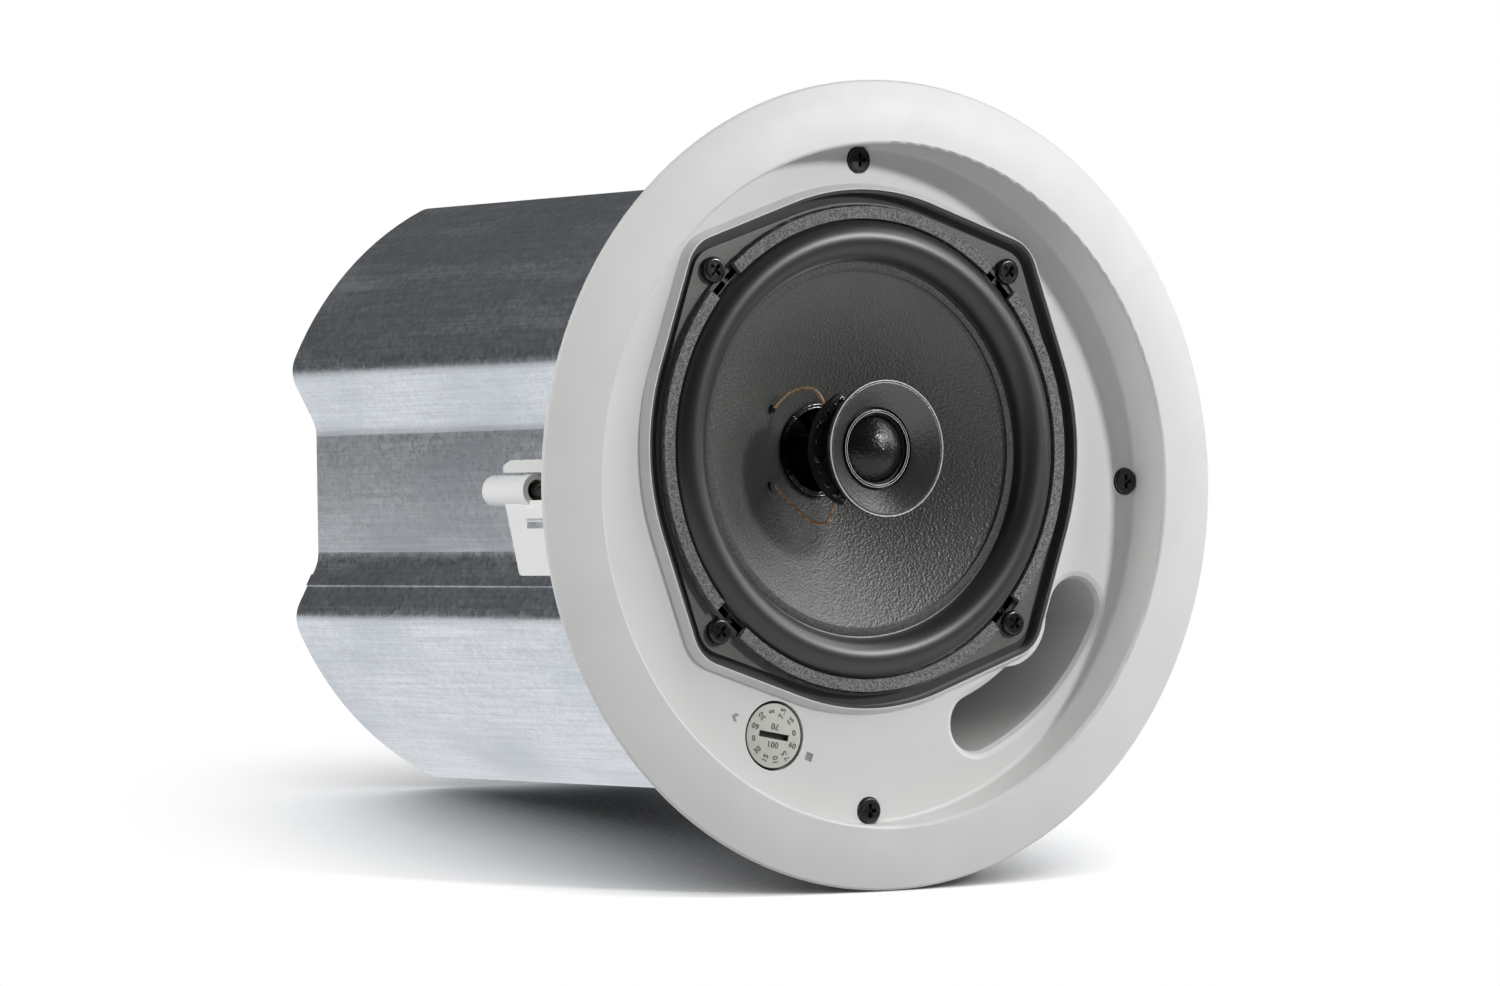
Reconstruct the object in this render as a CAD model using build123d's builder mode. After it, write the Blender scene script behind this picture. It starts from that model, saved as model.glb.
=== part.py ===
from build123d import *
import os
from math import acos, atan2, cos, degrees, hypot, radians, sin, tan

# In ceiling loudspeaker in a fluted steel back can, with a coaxial driver, a tap selector and four swing-out clamps.
# Millimetres. The origin is the middle of the ceiling plane, +Y goes up the axis into the ceiling void and -Y is
# the front. +Z is the side of the upper clamp and +X is to the right when the front is looked at.

# Baffle: rim, recess and floor
rim_radius = 125.0
rim_edge = 1.0
rim_round = 0.6
rim_proud = 3.6
rim_crown = 0.5
recess_radius = 105.0
recess_lip = 1.1
recess_corner = 1.2
tub_wall = 2.4
floor_depth = 11.8
floor_wall = 2.6
floor_back = floor_depth + floor_wall

# Back can: a round sheet-metal tube with four shallow flutes
can_radius = 103.0
can_back = 202.2
can_wall = 0.8
flute_depth = 17.7
flute_floor_radius = can_radius - flute_depth
flute_floor_half = 22.0
flute_side_lean = 29.0
flute_root_round = 12.0
flute_mouth_round = 10.0
seam_offset = 28.0
seam_width = 4.0
seam_height = 0.5

# Where the can slips over the baffle
shoulder_back = 18.0
skirt_back = 30.0
skirt_gap = 0.3
skirt_wall = 1.6
gasket_thickness = 1.0
can_front = shoulder_back + gasket_thickness
can_screw_depth = 24.5
can_screw_radius = 1.6
can_screw_head_radius = 3.0
can_screw_head = 1.8
can_screw_length = 5.0

# Driver: its axis sits above the middle of the can
driver_rise = 11.25
driver_face = 11.55
opening_radius = 80.4
opening_ear_radius = 12.4
ear_pitch = 75.5
collar_crest = 9.0
collar_lip = 0.35
collar_foot = 2.0
recess_wall = 2.4
plate_radius = 76.4
plate_ear_radius = 8.8
plate_thickness = 1.2
seal_thickness = 1.3
seal_wall = 0.9
seal_gap = 0.1
seal_crest = 9.4
ledge_wall = 3.0
ledge_hole_radius = 71.4
driver_screw_pitch = 78.1
driver_screw_radius = 1.9
driver_screw_head_radius = 4.1
driver_screw_head = 2.1
driver_screw_length = 13.0
boss_radius = 3.7
boss_length = 10.0
thread_gap = 0.06
ledge_front = driver_face + plate_thickness + seal_thickness + seal_gap
ledge_back = ledge_front + ledge_wall

# Bass port: a curved slot that goes round one ear of the driver
port_end_upper = (81.0, -39.4)
port_middle = (65.6, -60.1)
port_end_lower = (41.7, -75.2)
port_half_width = 11.3
port_ear_keep = 15.5
port_ear_round = 5.0
port_flare = 2.4
port_flare_mid = 1.5
port_flare_depth = 2.4
port_wall = 1.6
port_length = 120.0

# Tap selector
dial_place = (-34.8, -76.5)
dial_radius = 10.5
dial_gap = 0.3
dial_face_drop = 0.3
dial_thickness = 2.2
dial_slot_length = 10.7
dial_slot_width = 1.7
dial_slot_depth = 1.0
dial_slot_angle = -11.0
dial_shaft_radius = 3.0
dial_shaft_length = 8.0
switch_radius = 10.4
switch_flange_radius = 11.2
switch_flange = 1.2
switch_depth = 13.0
switch_tag_radius = 0.8
switch_tag_length = 4.0
shaft_gap = 0.06
mark_depth = 0.4
arrow_mark_place = (-49.2, -70.3)
square_mark_place = (-22.1, -83.4)
mark_lean = -24.0
mark_size = 2.6
arrow_mark_width = 1.3

# Clamps: screw, captive nut and ear, on a circle in the flutes
clamp_pitch = recess_radius - 4.1
clamp_names = ("right", "top", "left", "bottom")
clamp_head_radius = 4.1
clamp_head = 2.0
clamp_head_front = 10.95
clamp_head_gap = 0.3
clamp_shank_radius = 2.25
clamp_shank_gap = 0.1
clamp_shank_end = 50.2
clamp_cross = 4.4
clamp_cross_width = 1.1
clamp_cross_depth = 1.2
clamp_post_radius = 4.6
clamp_post_back = 18.2
nut_front = 45.0
nut_length = 4.6
nut_gap = 0.05
ear_bore_radius = 3.35
ear_bore_gap = 0.07
ear_bore_end = 64.8
ear_front = 41.0
ear_tail = 66.0
ear_boss_radius = 4.9
ear_edge_round = 0.8
ear_ring = 0.3
ear_ring_back = 44.8
arm_front = 28.8
arm_heel = 33.0
arm_heel_end = 5.6
arm_root = 3.0
arm_root_back = 55.7
arm_tip_back = 47.6
arm_reach = 26.0
arm_inner = -0.4
arm_outer = 2.8
arm_tip_round = 1.6
arm_slot_near = 9.6
arm_slot_width = 2.0
arm_slot_front = 31.0
arm_slot_back = 42.7
pad_near = 5.6
pad_far = 8.6
pad_back = 43.0
pad_height = 4.8
guide_near = 5.55
guide_far = 9.4
guide_back = 54.8
guide_chamfer = 1.6
guide_chamfer_length = 4.5
guide_outer_radius = can_radius + 1.5
guide_inner_radius = can_radius - 11.0

# Driver insides
basket_wall = 1.2
basket_cup_radius = 70.5
basket_cup_back = 20.0
spider_shelf_radius = 52.0
spider_shelf = 47.0
basket_neck_radius = 43.0
basket_base = 58.0
basket_base_hole = 17.0
shelf_wall = 1.2
window_count = 6
window_front = 23.0
window_back = 44.0
window_width = 34.0
gasket_front = 8.8
gasket_inner_radius = 71.4
gasket_outer_radius = 75.2
gasket_span = 81.0
surround_thickness = 0.6
surround_outer_radius = 73.7
plate_ring_radius = 75.0
roll_outer_radius = 71.3
roll_inner_radius = 58.4
roll_crest = 6.7
roll_crest_radius = 64.8
landing_depth = 12.5
landing_gap = 0.2
cone_radius = 58.0
cone_edge_radius = 55.4
cone_thickness = 0.6
cone_belly = (34.0, 24.6)
neck_depth = 37.4
former_radius = 13.2
former_wall = 0.4
former_front = 35.4
former_back = 66.0
former_collar = 0.8
former_collar_length = 1.4
coil_fit = 0.05
winding_front = 54.0
winding_back = 65.0
winding_wall = 0.6
spider_outer_radius = 50.5
spider_flat_radius = 43.5
spider_thickness = 0.5
spider_waves = 5
spider_wave = 1.1
soft_gap = 0.3
top_plate_radius = 45.0
top_plate_thickness = 5.0
gap_radius = 14.9
magnet_radius = 47.5
magnet_bore = 20.0
magnet_thickness = 16.0
back_plate_thickness = 5.0
pole_radius = 12.4
pole_front = 57.0
terminal_width = 14.0
terminal_thickness = 1.6
terminal_angle = 150.0

# Tweeter on its post
flare_radius = 21.05
flare_front = -1.3
flare_edge = 0.9
flare_inner_radius = 12.9
flare_inner_depth = 4.3
flare_belly = (16.6, 1.3)
flare_back = 5.2
flare_root_radius = 15.3
housing_radius = 15.8
housing_front = 5.3
housing_back = 13.0
housing_wall = 1.4
housing_neck_radius = 9.5
housing_neck_front = 18.6
housing_neck_back = 22.0
post_radius = 5.0
ring_radius = 11.6
ring_width = 0.8
ring_front = 4.0
dome_radius = 10.4
dome_height = 4.4
dome_thickness = 0.5
tweeter_magnet_back = 12.2
strip_inner_radius = 15.9
strip_outer_radius = 18.9
strip_front = 12.0
strip_back = 14.4
strip_span = 132.0
strip_middle = 180.0
lead_radius = 0.5
eyelet_radius = 1.3
eyelet_head = 0.8
eyelet_shank_radius = 0.6
eyelet_place = 0.70
eyelet_angles = (149.6, 205.7)
eyelet_gap = 0.15
upper_lead_route = [
    (-22.5, 27.2, 24.5),
    (-20.1, 25.6, 28.4),
    (-15.6, 22.9, 30.6),
    (-12.4, 20.3, 30.2),
    (-11.2, 17.8, 27.6),
    (-12.2, 14.7, 24.9),
]
lower_lead_route = [
    (-22.6, 27.6, 0.4),
    (-18.8, 25.6, -5.1),
    (-13.7, 23.3, -10.2),
    (-10.3, 20.9, -12.3),
    (-8.4, 18.4, -10.7),
    (-8.7, 14.7, -4.9),
]

# Electronics and the end cap
cap_drop = 6.0
cap_wall = 1.0
cap_gap = 0.05
pocket_length = 66.0
pocket_width = 44.0
pocket_depth = 20.0
pocket_rise = 34.0
pocket_round = 5.0
cover_lap = 5.0
cover_thickness = 1.5
cover_screw_inset = 2.6
small_screw_radius = 1.4
small_screw_head_radius = 2.7
small_screw_head = 1.5
small_screw_length = 6.0
cable_hole_radius = 8.0
cable_hole_side = 16.0
clamp_bar_length = 24.0
clamp_bar_width = 6.0
clamp_bar_thickness = 2.0
clamp_bar_bow = 1.4
block_length = 34.0
block_width = 16.0
block_height = 13.0
block_side = -14.0
pole_count = 4
wire_hole_radius = 1.7
wire_hole_depth = 8.0
tab_width = 10.0
tab_foot = 7.0
tab_span = 16.0
tab_thickness = 1.2
tab_rise = 3.2
tab_slope = 2.5
tab_place = (-60.0, 24.0)
wadding_front = 96.0
wadding_back = 178.0
wadding_gap = 1.2
wadding_radius = flute_floor_radius - wadding_gap
wadding_thickness = 11.0
wadding_start = -15.0
wadding_span = 250.0
core_length = 57.0
core_height = 48.0
core_depth = 22.0
core_window_length = 9.5
core_window_height = 28.6
coil_gap = 0.3
coil_round = 4.0
coil_depth = 42.0
transformer_place = (-26.0, -20.0)
bracket_thickness = 1.2
bracket_foot = 12.0
board_length = 46.0
board_width = 40.0
board_thickness = 1.6
board_place = (41.0, -24.0)
board_lift = 10.0
board_hole_inset = 4.0
standoff_radius = 3.0
standoff_pin_radius = 1.5
capacitor_radius = 4.6
capacitor_length = 20.0
capacitor_sides = (8.0, 17.8)
choke_radius = 11.0
choke_bore = 5.5
choke_height = 10.0
choke_side = -9.5
resistor_radius = 2.4
resistor_length = 12.0
resistor_rise = 15.5
part_gap = 0.1


def front_plane(depth, rise=0.0):
    """The front view's plane at a depth: X to the right, Z up, with the normal towards the front."""
    return Plane(origin=(0, depth, rise), x_dir=(1, 0, 0), z_dir=(0, -1, 0))


def rear_plane(depth):
    """The same view's plane at a depth, with its extrusions going back into the can."""
    return Plane(origin=(0, depth, 0), x_dir=(1, 0, 0), z_dir=(0, -1, 0))


def clamp_plane(angle, radius):
    """A plane square to one clamp's radius: X runs round the can and Y runs forward along the axis."""
    outward = (cos(radians(angle)), 0, sin(radians(angle)))
    around = (-sin(radians(angle)), 0, cos(radians(angle)))
    origin = tuple(radius * part for part in outward)
    return Plane(origin=origin, x_dir=around, z_dir=outward)


def clamp_centre(angle, pitch=clamp_pitch):
    """A clamp screw's place in the front view."""
    return (pitch * cos(radians(angle)), pitch * sin(radians(angle)))


def lobed_outline(main, ear, grow=0.0):
    """The driver's outline: a circle with four ears on tangent flanks."""
    lean = degrees(acos((main - ear) / ear_pitch))
    with BuildSketch(Plane.XY, mode=Mode.PRIVATE) as outline:
        Circle(main + grow)
        for quarter in range(4):
            middle = 45 + 90 * quarter
            ear_centre = Vector(ear_pitch, 0).rotate(Axis.Z, middle)
            before = Vector(1, 0).rotate(Axis.Z, middle - lean)
            after = Vector(1, 0).rotate(Axis.Z, middle + lean)
            with Locations(ear_centre):
                Circle(ear + grow)
            with BuildLine():
                Polyline(
                    before * (main + grow),
                    ear_centre + before * (ear + grow),
                    ear_centre + after * (ear + grow),
                    after * (main + grow),
                    (0, 0),
                    close=True,
                )
            make_face()
    return outline.sketch


def fluted_outline(inset=0.0):
    """The can's section: a circle with four shallow flutes, drawn in by an inset."""
    side_run = can_radius - flute_floor_radius + flute_mouth_round
    side_spread = side_run / tan(radians(flute_side_lean))
    with BuildSketch(Plane.XY, mode=Mode.PRIVATE) as outline:
        Circle(can_radius)
        with BuildLine():
            Polyline(
                (flute_floor_radius, -flute_floor_half),
                (flute_floor_radius + side_run, -flute_floor_half - side_spread),
                (flute_floor_radius + side_run, flute_floor_half + side_spread),
                (flute_floor_radius, flute_floor_half),
                close=True,
            )
        flute = make_face(mode=Mode.PRIVATE)
        for quarter in range(4):
            add(flute.rotate(Axis.Z, 90 * quarter), mode=Mode.SUBTRACT)
        by_radius = outline.vertices().group_by(lambda corner: hypot(corner.X, corner.Y))
        fillet(by_radius[0], flute_root_round)
        fillet(outline.vertices().filter_by(is_mouth_corner), flute_mouth_round)
        if inset:
            offset(amount=-inset)
    return outline.sketch


def is_mouth_corner(corner):
    """Whether a corner of the can's section lies where a flute's side meets the round."""
    return hypot(corner.X, corner.Y) > can_radius - 0.01


def port_outline(inset=0.0, ear_wall=0.0):
    """The port's kidney: an arc slot with the driver's ear kept out of it."""
    ear = ear_pitch * cos(radians(45))
    with BuildSketch(Plane.XY, mode=Mode.PRIVATE) as outline:
        centre_line = ThreePointArc(port_end_upper, port_middle, port_end_lower)
        SlotArc(centre_line, 2 * (port_half_width - inset))
        with Locations((ear, driver_rise - ear)):
            Circle(port_ear_keep - ear_wall, mode=Mode.SUBTRACT)
        cusps = outline.vertices().filter_by(is_port_cusp)
        fillet(cusps, port_ear_round)
    return outline.sketch


def is_port_cusp(corner):
    """Whether a corner of the port's outline lies on the circle kept round the driver's ear."""
    ear = ear_pitch * cos(radians(45))
    reach = hypot(corner.X - ear, corner.Y - driver_rise + ear)
    return abs(reach - port_ear_keep) < port_wall + 0.05


def lead_path(points):
    """A lead's line: straight runs joined by arcs as large as the runs allow."""
    places = [Vector(*point) for point in points]
    radii = []
    for before, corner, after in zip(places, places[1:], places[2:]):
        turn = (corner - before).get_angle(after - corner)
        shorter = min((corner - before).length, (after - corner).length)
        radii.append(0.45 * shorter / tan(radians(turn / 2)))
    return FilletPolyline(*places, radius=radii)


def save(part, name):
    """Writes one piece to its own file."""
    part.label = name
    export_step(part, f"parts/{name}.step")


os.makedirs("parts", exist_ok=True)
driver_axis = Axis((0, 0, driver_rise), (0, 1, 0))
driver_section = Plane.XY.offset(driver_rise)
spigot_radius = recess_radius + tub_wall
floor_radius = recess_radius - recess_corner

# Rim: the trim ring with the recess wall and the rounded corner at its foot
with BuildPart() as rim:
    with BuildSketch(Plane.XY):
        with BuildLine():
            rim_face = ThreePointArc(
                (recess_radius + recess_lip, -rim_proud),
                (
                    (recess_radius + recess_lip + rim_radius) / 2,
                    -(rim_proud + rim_edge) / 2 - rim_crown,
                ),
                (rim_radius - rim_round, -rim_edge),
            )
            Polyline(
                rim_face @ 1,
                (rim_radius, rim_round - rim_edge),
                (rim_radius, 0),
                (spigot_radius, 0),
                (spigot_radius, floor_back),
                (floor_radius, floor_back),
                (floor_radius, floor_depth),
            )
            TangentArc(
                (floor_radius, floor_depth),
                (recess_radius, floor_depth - recess_corner),
                tangent=(1, 0),
            )
            Line((recess_radius, floor_depth - recess_corner), (recess_radius, recess_lip - rim_proud))
            TangentArc((recess_radius, recess_lip - rim_proud), rim_face @ 0, tangent=(0, -1))
        make_face()
    revolve(axis=Axis.Y)
    # The clamp screws' counterbores just reach into the recess wall
    with BuildSketch(front_plane(clamp_head_front)):
        with PolarLocations(clamp_pitch, 4):
            Circle(clamp_head_radius + clamp_head_gap)
    extrude(amount=-clamp_head, mode=Mode.SUBTRACT)
save(rim.part, "rim")

# Baffle: the floor of the recess with everything that it carries
with BuildPart() as baffle:
    with BuildSketch(rear_plane(floor_back)):
        Circle(floor_radius)
    extrude(amount=floor_wall)
    # Raised collar round the driver, and the pan that carries the driver
    with BuildSketch(front_plane(floor_depth, driver_rise)):
        add(lobed_outline(opening_radius, opening_ear_radius, collar_foot))
    with BuildSketch(front_plane(collar_crest, driver_rise)):
        add(lobed_outline(opening_radius, opening_ear_radius, collar_lip))
    loft(ruled=True)
    with BuildSketch(front_plane(floor_depth, driver_rise)):
        add(lobed_outline(opening_radius, opening_ear_radius, recess_wall))
    extrude(amount=floor_depth - ledge_back)
    # Shoulder and skirt that the can slips over
    with BuildSketch(rear_plane(floor_back)):
        add(fluted_outline())
        add(fluted_outline(can_wall + skirt_gap + skirt_wall), mode=Mode.SUBTRACT)
    extrude(amount=floor_back - shoulder_back)
    with BuildSketch(rear_plane(shoulder_back)):
        add(fluted_outline(can_wall + skirt_gap))
        add(fluted_outline(can_wall + skirt_gap + skirt_wall), mode=Mode.SUBTRACT)
    extrude(amount=shoulder_back - skirt_back)
    # Port collar behind the floor
    with BuildSketch(rear_plane(floor_back)):
        add(port_outline(port_flare - port_wall, port_wall))
    extrude(amount=floor_back - skirt_back)
    # Posts for the clamp screws and guides for the clamp ears
    with BuildSketch(rear_plane(floor_back)):
        with PolarLocations(clamp_pitch, 4):
            Circle(clamp_post_radius)
    extrude(amount=floor_back - clamp_post_back)
    for quarter in range(4):
        with BuildSketch(clamp_plane(90 * quarter, guide_inner_radius)):
            with BuildLine():
                Polyline(
                    (-guide_near, -floor_back),
                    (-guide_far, -floor_back),
                    (-guide_far, guide_chamfer_length - guide_back),
                    (guide_chamfer - guide_far, -guide_back),
                    (-guide_near, -guide_back),
                    close=True,
                )
            make_face()
        extrude(amount=guide_outer_radius - guide_inner_radius)
    # Screw bosses behind the driver's ledge
    with BuildSketch(front_plane(ledge_back, driver_rise)):
        with PolarLocations(driver_screw_pitch, 4, start_angle=45):
            Circle(boss_radius)
    extrude(amount=-boss_length)
    # Driver recess, its hole and its screw holes
    with BuildSketch(front_plane(collar_crest - 1, driver_rise)):
        add(lobed_outline(opening_radius, opening_ear_radius))
    extrude(amount=collar_crest - 1 - ledge_front, mode=Mode.SUBTRACT)
    with BuildSketch(front_plane(ledge_front - 1, driver_rise)):
        Circle(ledge_hole_radius)
    extrude(amount=ledge_front - 1 - ledge_back - 1, mode=Mode.SUBTRACT)
    with BuildSketch(front_plane(ledge_front - 1, driver_rise)):
        with PolarLocations(driver_screw_pitch, 4, start_angle=45):
            Circle(driver_screw_radius + thread_gap)
    extrude(amount=ledge_front - 1 - ledge_back - boss_length + 1, mode=Mode.SUBTRACT)
    # Port mouth and throat
    with BuildSketch(front_plane(floor_depth)):
        add(port_outline())
    with BuildSketch(front_plane(floor_depth + port_flare_depth * 0.3)):
        add(port_outline(port_flare_mid))
    with BuildSketch(front_plane(floor_depth + port_flare_depth)):
        add(port_outline(port_flare))
    loft(ruled=True, mode=Mode.SUBTRACT)
    with BuildSketch(front_plane(floor_depth + port_flare_depth)):
        add(port_outline(port_flare))
    extrude(amount=floor_depth + port_flare_depth - skirt_back - 1, mode=Mode.SUBTRACT)
    # Clamp screw holes
    with BuildSketch(front_plane(clamp_head_front)):
        with PolarLocations(clamp_pitch, 4):
            Circle(clamp_head_radius + clamp_head_gap)
    extrude(amount=-clamp_head, mode=Mode.SUBTRACT)
    with BuildSketch(front_plane(clamp_head_front)):
        with PolarLocations(clamp_pitch, 4):
            Circle(clamp_shank_radius + clamp_shank_gap)
    extrude(amount=clamp_head_front - clamp_post_back - 1, mode=Mode.SUBTRACT)
    # Selector hole with its arrow and square marks
    with BuildSketch(front_plane(floor_depth)):
        with Locations(dial_place):
            Circle(dial_radius + dial_gap)
    extrude(amount=-floor_wall, mode=Mode.SUBTRACT)
    with BuildSketch(front_plane(floor_depth)):
        with Locations(Location((*square_mark_place, 0), (0, 0, mark_lean))):
            Rectangle(mark_size, mark_size)
        with Locations(Location((*arrow_mark_place, 0), (0, 0, mark_lean))):
            with BuildLine():
                Polyline(
                    (mark_size / 2, mark_size / 2),
                    (mark_size / 2 - arrow_mark_width, mark_size / 2),
                    (-mark_size / 2, 0),
                    (mark_size / 2 - arrow_mark_width, -mark_size / 2),
                    (mark_size / 2, -mark_size / 2),
                    (arrow_mark_width - mark_size / 2, 0),
                    close=True,
                )
            make_face()
    extrude(amount=-mark_depth, mode=Mode.SUBTRACT)
    # Pilot holes for the screws that hold the can
    for lobe in range(4):
        with Locations(clamp_plane(45 + 90 * lobe, can_radius) * Location((0, -can_screw_depth, 0))):
            Cylinder(can_screw_radius + thread_gap, 2 * can_screw_length, mode=Mode.SUBTRACT)
save(baffle.part, "baffle")

# Port duct, which plugs on behind the baffle's collar
with BuildPart() as port_duct:
    with BuildSketch(rear_plane(skirt_back)):
        add(port_outline(port_flare - port_wall, port_wall))
        add(port_outline(port_flare), mode=Mode.SUBTRACT)
    extrude(amount=skirt_back - port_length)
save(port_duct.part, "port_duct")

# Seal that lines the driver's recess: a flat ring with a thin upstanding wall
with BuildPart() as driver_seal:
    with BuildSketch(front_plane(ledge_front - seal_gap / 2, driver_rise)):
        add(lobed_outline(opening_radius, opening_ear_radius, -seal_gap))
        Circle(ledge_hole_radius, mode=Mode.SUBTRACT)
        with PolarLocations(driver_screw_pitch, 4, start_angle=45):
            Circle(driver_screw_radius + 2 * thread_gap, mode=Mode.SUBTRACT)
    extrude(amount=seal_thickness)
    with BuildSketch(front_plane(ledge_front - seal_gap / 2 - seal_thickness, driver_rise)):
        add(lobed_outline(opening_radius, opening_ear_radius, -seal_gap))
        add(lobed_outline(opening_radius, opening_ear_radius, -seal_gap - seal_wall), mode=Mode.SUBTRACT)
    extrude(amount=ledge_front - seal_gap / 2 - seal_thickness - seal_crest)
save(driver_seal.part, "driver_seal")

# Foam strip between the baffle's shoulder and the can's edge
with BuildPart() as can_gasket:
    with BuildSketch(rear_plane(shoulder_back)):
        add(fluted_outline())
        add(fluted_outline(can_wall + skirt_gap / 2), mode=Mode.SUBTRACT)
    extrude(amount=-gasket_thickness)
save(can_gasket.part, "can_gasket")

# Can body: rolled sheet with a lap seam on the lower side of the left flute
with BuildPart() as can_body:
    with BuildSketch(rear_plane(can_front)):
        add(fluted_outline())
        add(fluted_outline(can_wall), mode=Mode.SUBTRACT)
    extrude(amount=can_front - can_back)
    seam_drop = seam_offset - flute_floor_half
    seam_place = Vector(flute_floor_radius, 0) + Vector(
        seam_drop * tan(radians(flute_side_lean)), 0
    )
    seam_plane = Plane(
        origin=(-seam_place.X, can_front, -seam_offset),
        x_dir=(-sin(radians(flute_side_lean)), 0, -cos(radians(flute_side_lean))),
        z_dir=(0, 1, 0),
    )
    with BuildSketch(seam_plane):
        with Locations((0, seam_height / 2 - can_wall / 4)):
            Rectangle(seam_width, seam_height + can_wall / 2)
    extrude(amount=can_back - can_front)
    for lobe in range(4):
        with Locations(clamp_plane(45 + 90 * lobe, can_radius) * Location((0, -can_screw_depth, 0))):
            Cylinder(can_screw_radius + thread_gap, 4 * can_wall, mode=Mode.SUBTRACT)
save(can_body.part, "can_body")

# Screws that hold the can to the baffle's skirt
with BuildPart() as can_screws:
    for lobe in range(4):
        outside = clamp_plane(45 + 90 * lobe, can_radius) * Location((0, -can_screw_depth, 0))
        with Locations(outside):
            Cylinder(
                can_screw_head_radius, can_screw_head, align=(Align.CENTER, Align.CENTER, Align.MIN)
            )
            Cylinder(
                can_screw_radius, can_screw_length, align=(Align.CENTER, Align.CENTER, Align.MAX)
            )
save(can_screws.part, "can_screws")

# End cap: a pressed pan with a turned edge and a pocket for the terminals
cap_face = can_back - cap_drop
cap_back = cap_face + cap_wall
core_x, core_z = transformer_place
bracket_x = core_length / 2 + coil_gap
bracket_screw_x = bracket_x + bracket_foot / 2 + bracket_thickness / 2
transformer_screw_places = [(core_x - bracket_screw_x, core_z), (core_x + bracket_screw_x, core_z)]
board_x, board_z = board_place
post_x = board_length / 2 - board_hole_inset
post_z = board_width / 2 - board_hole_inset
standoff_places = [
    (board_x - post_x, board_z - post_z),
    (board_x + post_x, board_z - post_z),
    (board_x + post_x, board_z + post_z),
    (board_x - post_x, board_z + post_z),
]
cover_screw_side = pocket_length / 2 + cover_screw_inset + cap_wall / 2
cover_screw_places = [(-cover_screw_side, pocket_rise), (cover_screw_side, pocket_rise)]
clamp_screw_spread = (clamp_bar_length - clamp_bar_width) / 2
cable_screw_places = [
    (cable_hole_side, pocket_rise - clamp_screw_spread),
    (cable_hole_side, pocket_rise + clamp_screw_spread),
]
with BuildPart() as end_cap:
    with BuildSketch(rear_plane(cap_face)):
        add(fluted_outline(can_wall + cap_gap))
    extrude(amount=cap_face - can_back)
    with BuildSketch(rear_plane(cap_back)):
        add(fluted_outline(can_wall + cap_gap + cap_wall))
    extrude(amount=cap_back - can_back, mode=Mode.SUBTRACT)
    with BuildSketch(front_plane(cap_face, pocket_rise)):
        RectangleRounded(pocket_length + 2 * cap_wall, pocket_width + 2 * cap_wall, pocket_round + cap_wall)
    extrude(amount=pocket_depth)
    with BuildSketch(front_plane(cap_back, pocket_rise)):
        RectangleRounded(pocket_length, pocket_width, pocket_round)
    extrude(amount=pocket_depth, mode=Mode.SUBTRACT)
    with BuildSketch(front_plane(cap_back)):
        with Locations(*cover_screw_places, *transformer_screw_places):
            Circle(small_screw_radius + thread_gap)
        with Locations(*standoff_places):
            Circle(standoff_pin_radius + thread_gap)
    extrude(amount=2 * cap_wall, mode=Mode.SUBTRACT)
save(end_cap.part, "end_cap")

# Terminal cover with the cable's way in
with BuildPart() as terminal_cover:
    with BuildSketch(front_plane(cap_back, pocket_rise)):
        RectangleRounded(pocket_length + 4 * cover_lap, pocket_width + cover_lap, pocket_round)
        with Locations((cable_hole_side, 0)):
            Circle(cable_hole_radius, mode=Mode.SUBTRACT)
    extrude(amount=-cover_thickness)
    with BuildSketch(front_plane(cap_back)):
        with Locations(*cover_screw_places, *cable_screw_places):
            Circle(small_screw_radius + thread_gap)
    extrude(amount=-cover_thickness, mode=Mode.SUBTRACT)
save(terminal_cover.part, "terminal_cover")


def small_screws(name, face, places, length=small_screw_length):
    """A set of pan-head screws whose heads sit behind a face and whose shanks point to the front."""
    with BuildPart() as screws:
        with BuildSketch(front_plane(face)):
            with Locations(*places):
                Circle(small_screw_head_radius)
        extrude(amount=-small_screw_head)
        chamfer(screws.edges().group_by(Axis.Y)[-1], 0.4)
        with BuildSketch(front_plane(face)):
            with Locations(*places):
                Circle(small_screw_radius)
        extrude(amount=length)
    save(screws.part, name)


cover_face = cap_back + cover_thickness
small_screws("terminal_cover_screws", cover_face, cover_screw_places)

# Cable clamp: a bowed bar over the cable's way in, held by two screws
with BuildPart() as cable_clamp:
    with BuildSketch(Plane(origin=(cable_hole_side, cover_face, pocket_rise), x_dir=(0, 0, 1), z_dir=(-1, 0, 0))):
        with BuildLine():
            Polyline(
                (-clamp_bar_length / 2, 0),
                (-clamp_bar_length / 4, 0),
                (-clamp_bar_length / 8, clamp_bar_bow),
                (clamp_bar_length / 8, clamp_bar_bow),
                (clamp_bar_length / 4, 0),
                (clamp_bar_length / 2, 0),
                (clamp_bar_length / 2, clamp_bar_thickness),
                (clamp_bar_length / 4, clamp_bar_thickness),
                (clamp_bar_length / 8, clamp_bar_thickness + clamp_bar_bow),
                (-clamp_bar_length / 8, clamp_bar_thickness + clamp_bar_bow),
                (-clamp_bar_length / 4, clamp_bar_thickness),
                (-clamp_bar_length / 2, clamp_bar_thickness),
                close=True,
            )
        make_face()
    extrude(amount=clamp_bar_width / 2, both=True)
    with BuildSketch(front_plane(cover_face)):
        with Locations(*cable_screw_places):
            Circle(small_screw_radius + thread_gap)
    extrude(amount=-2 * clamp_bar_thickness, mode=Mode.SUBTRACT)
save(cable_clamp.part, "cable_clamp")
small_screws("cable_clamp_screws", cover_face + clamp_bar_thickness, cable_screw_places)

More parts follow.
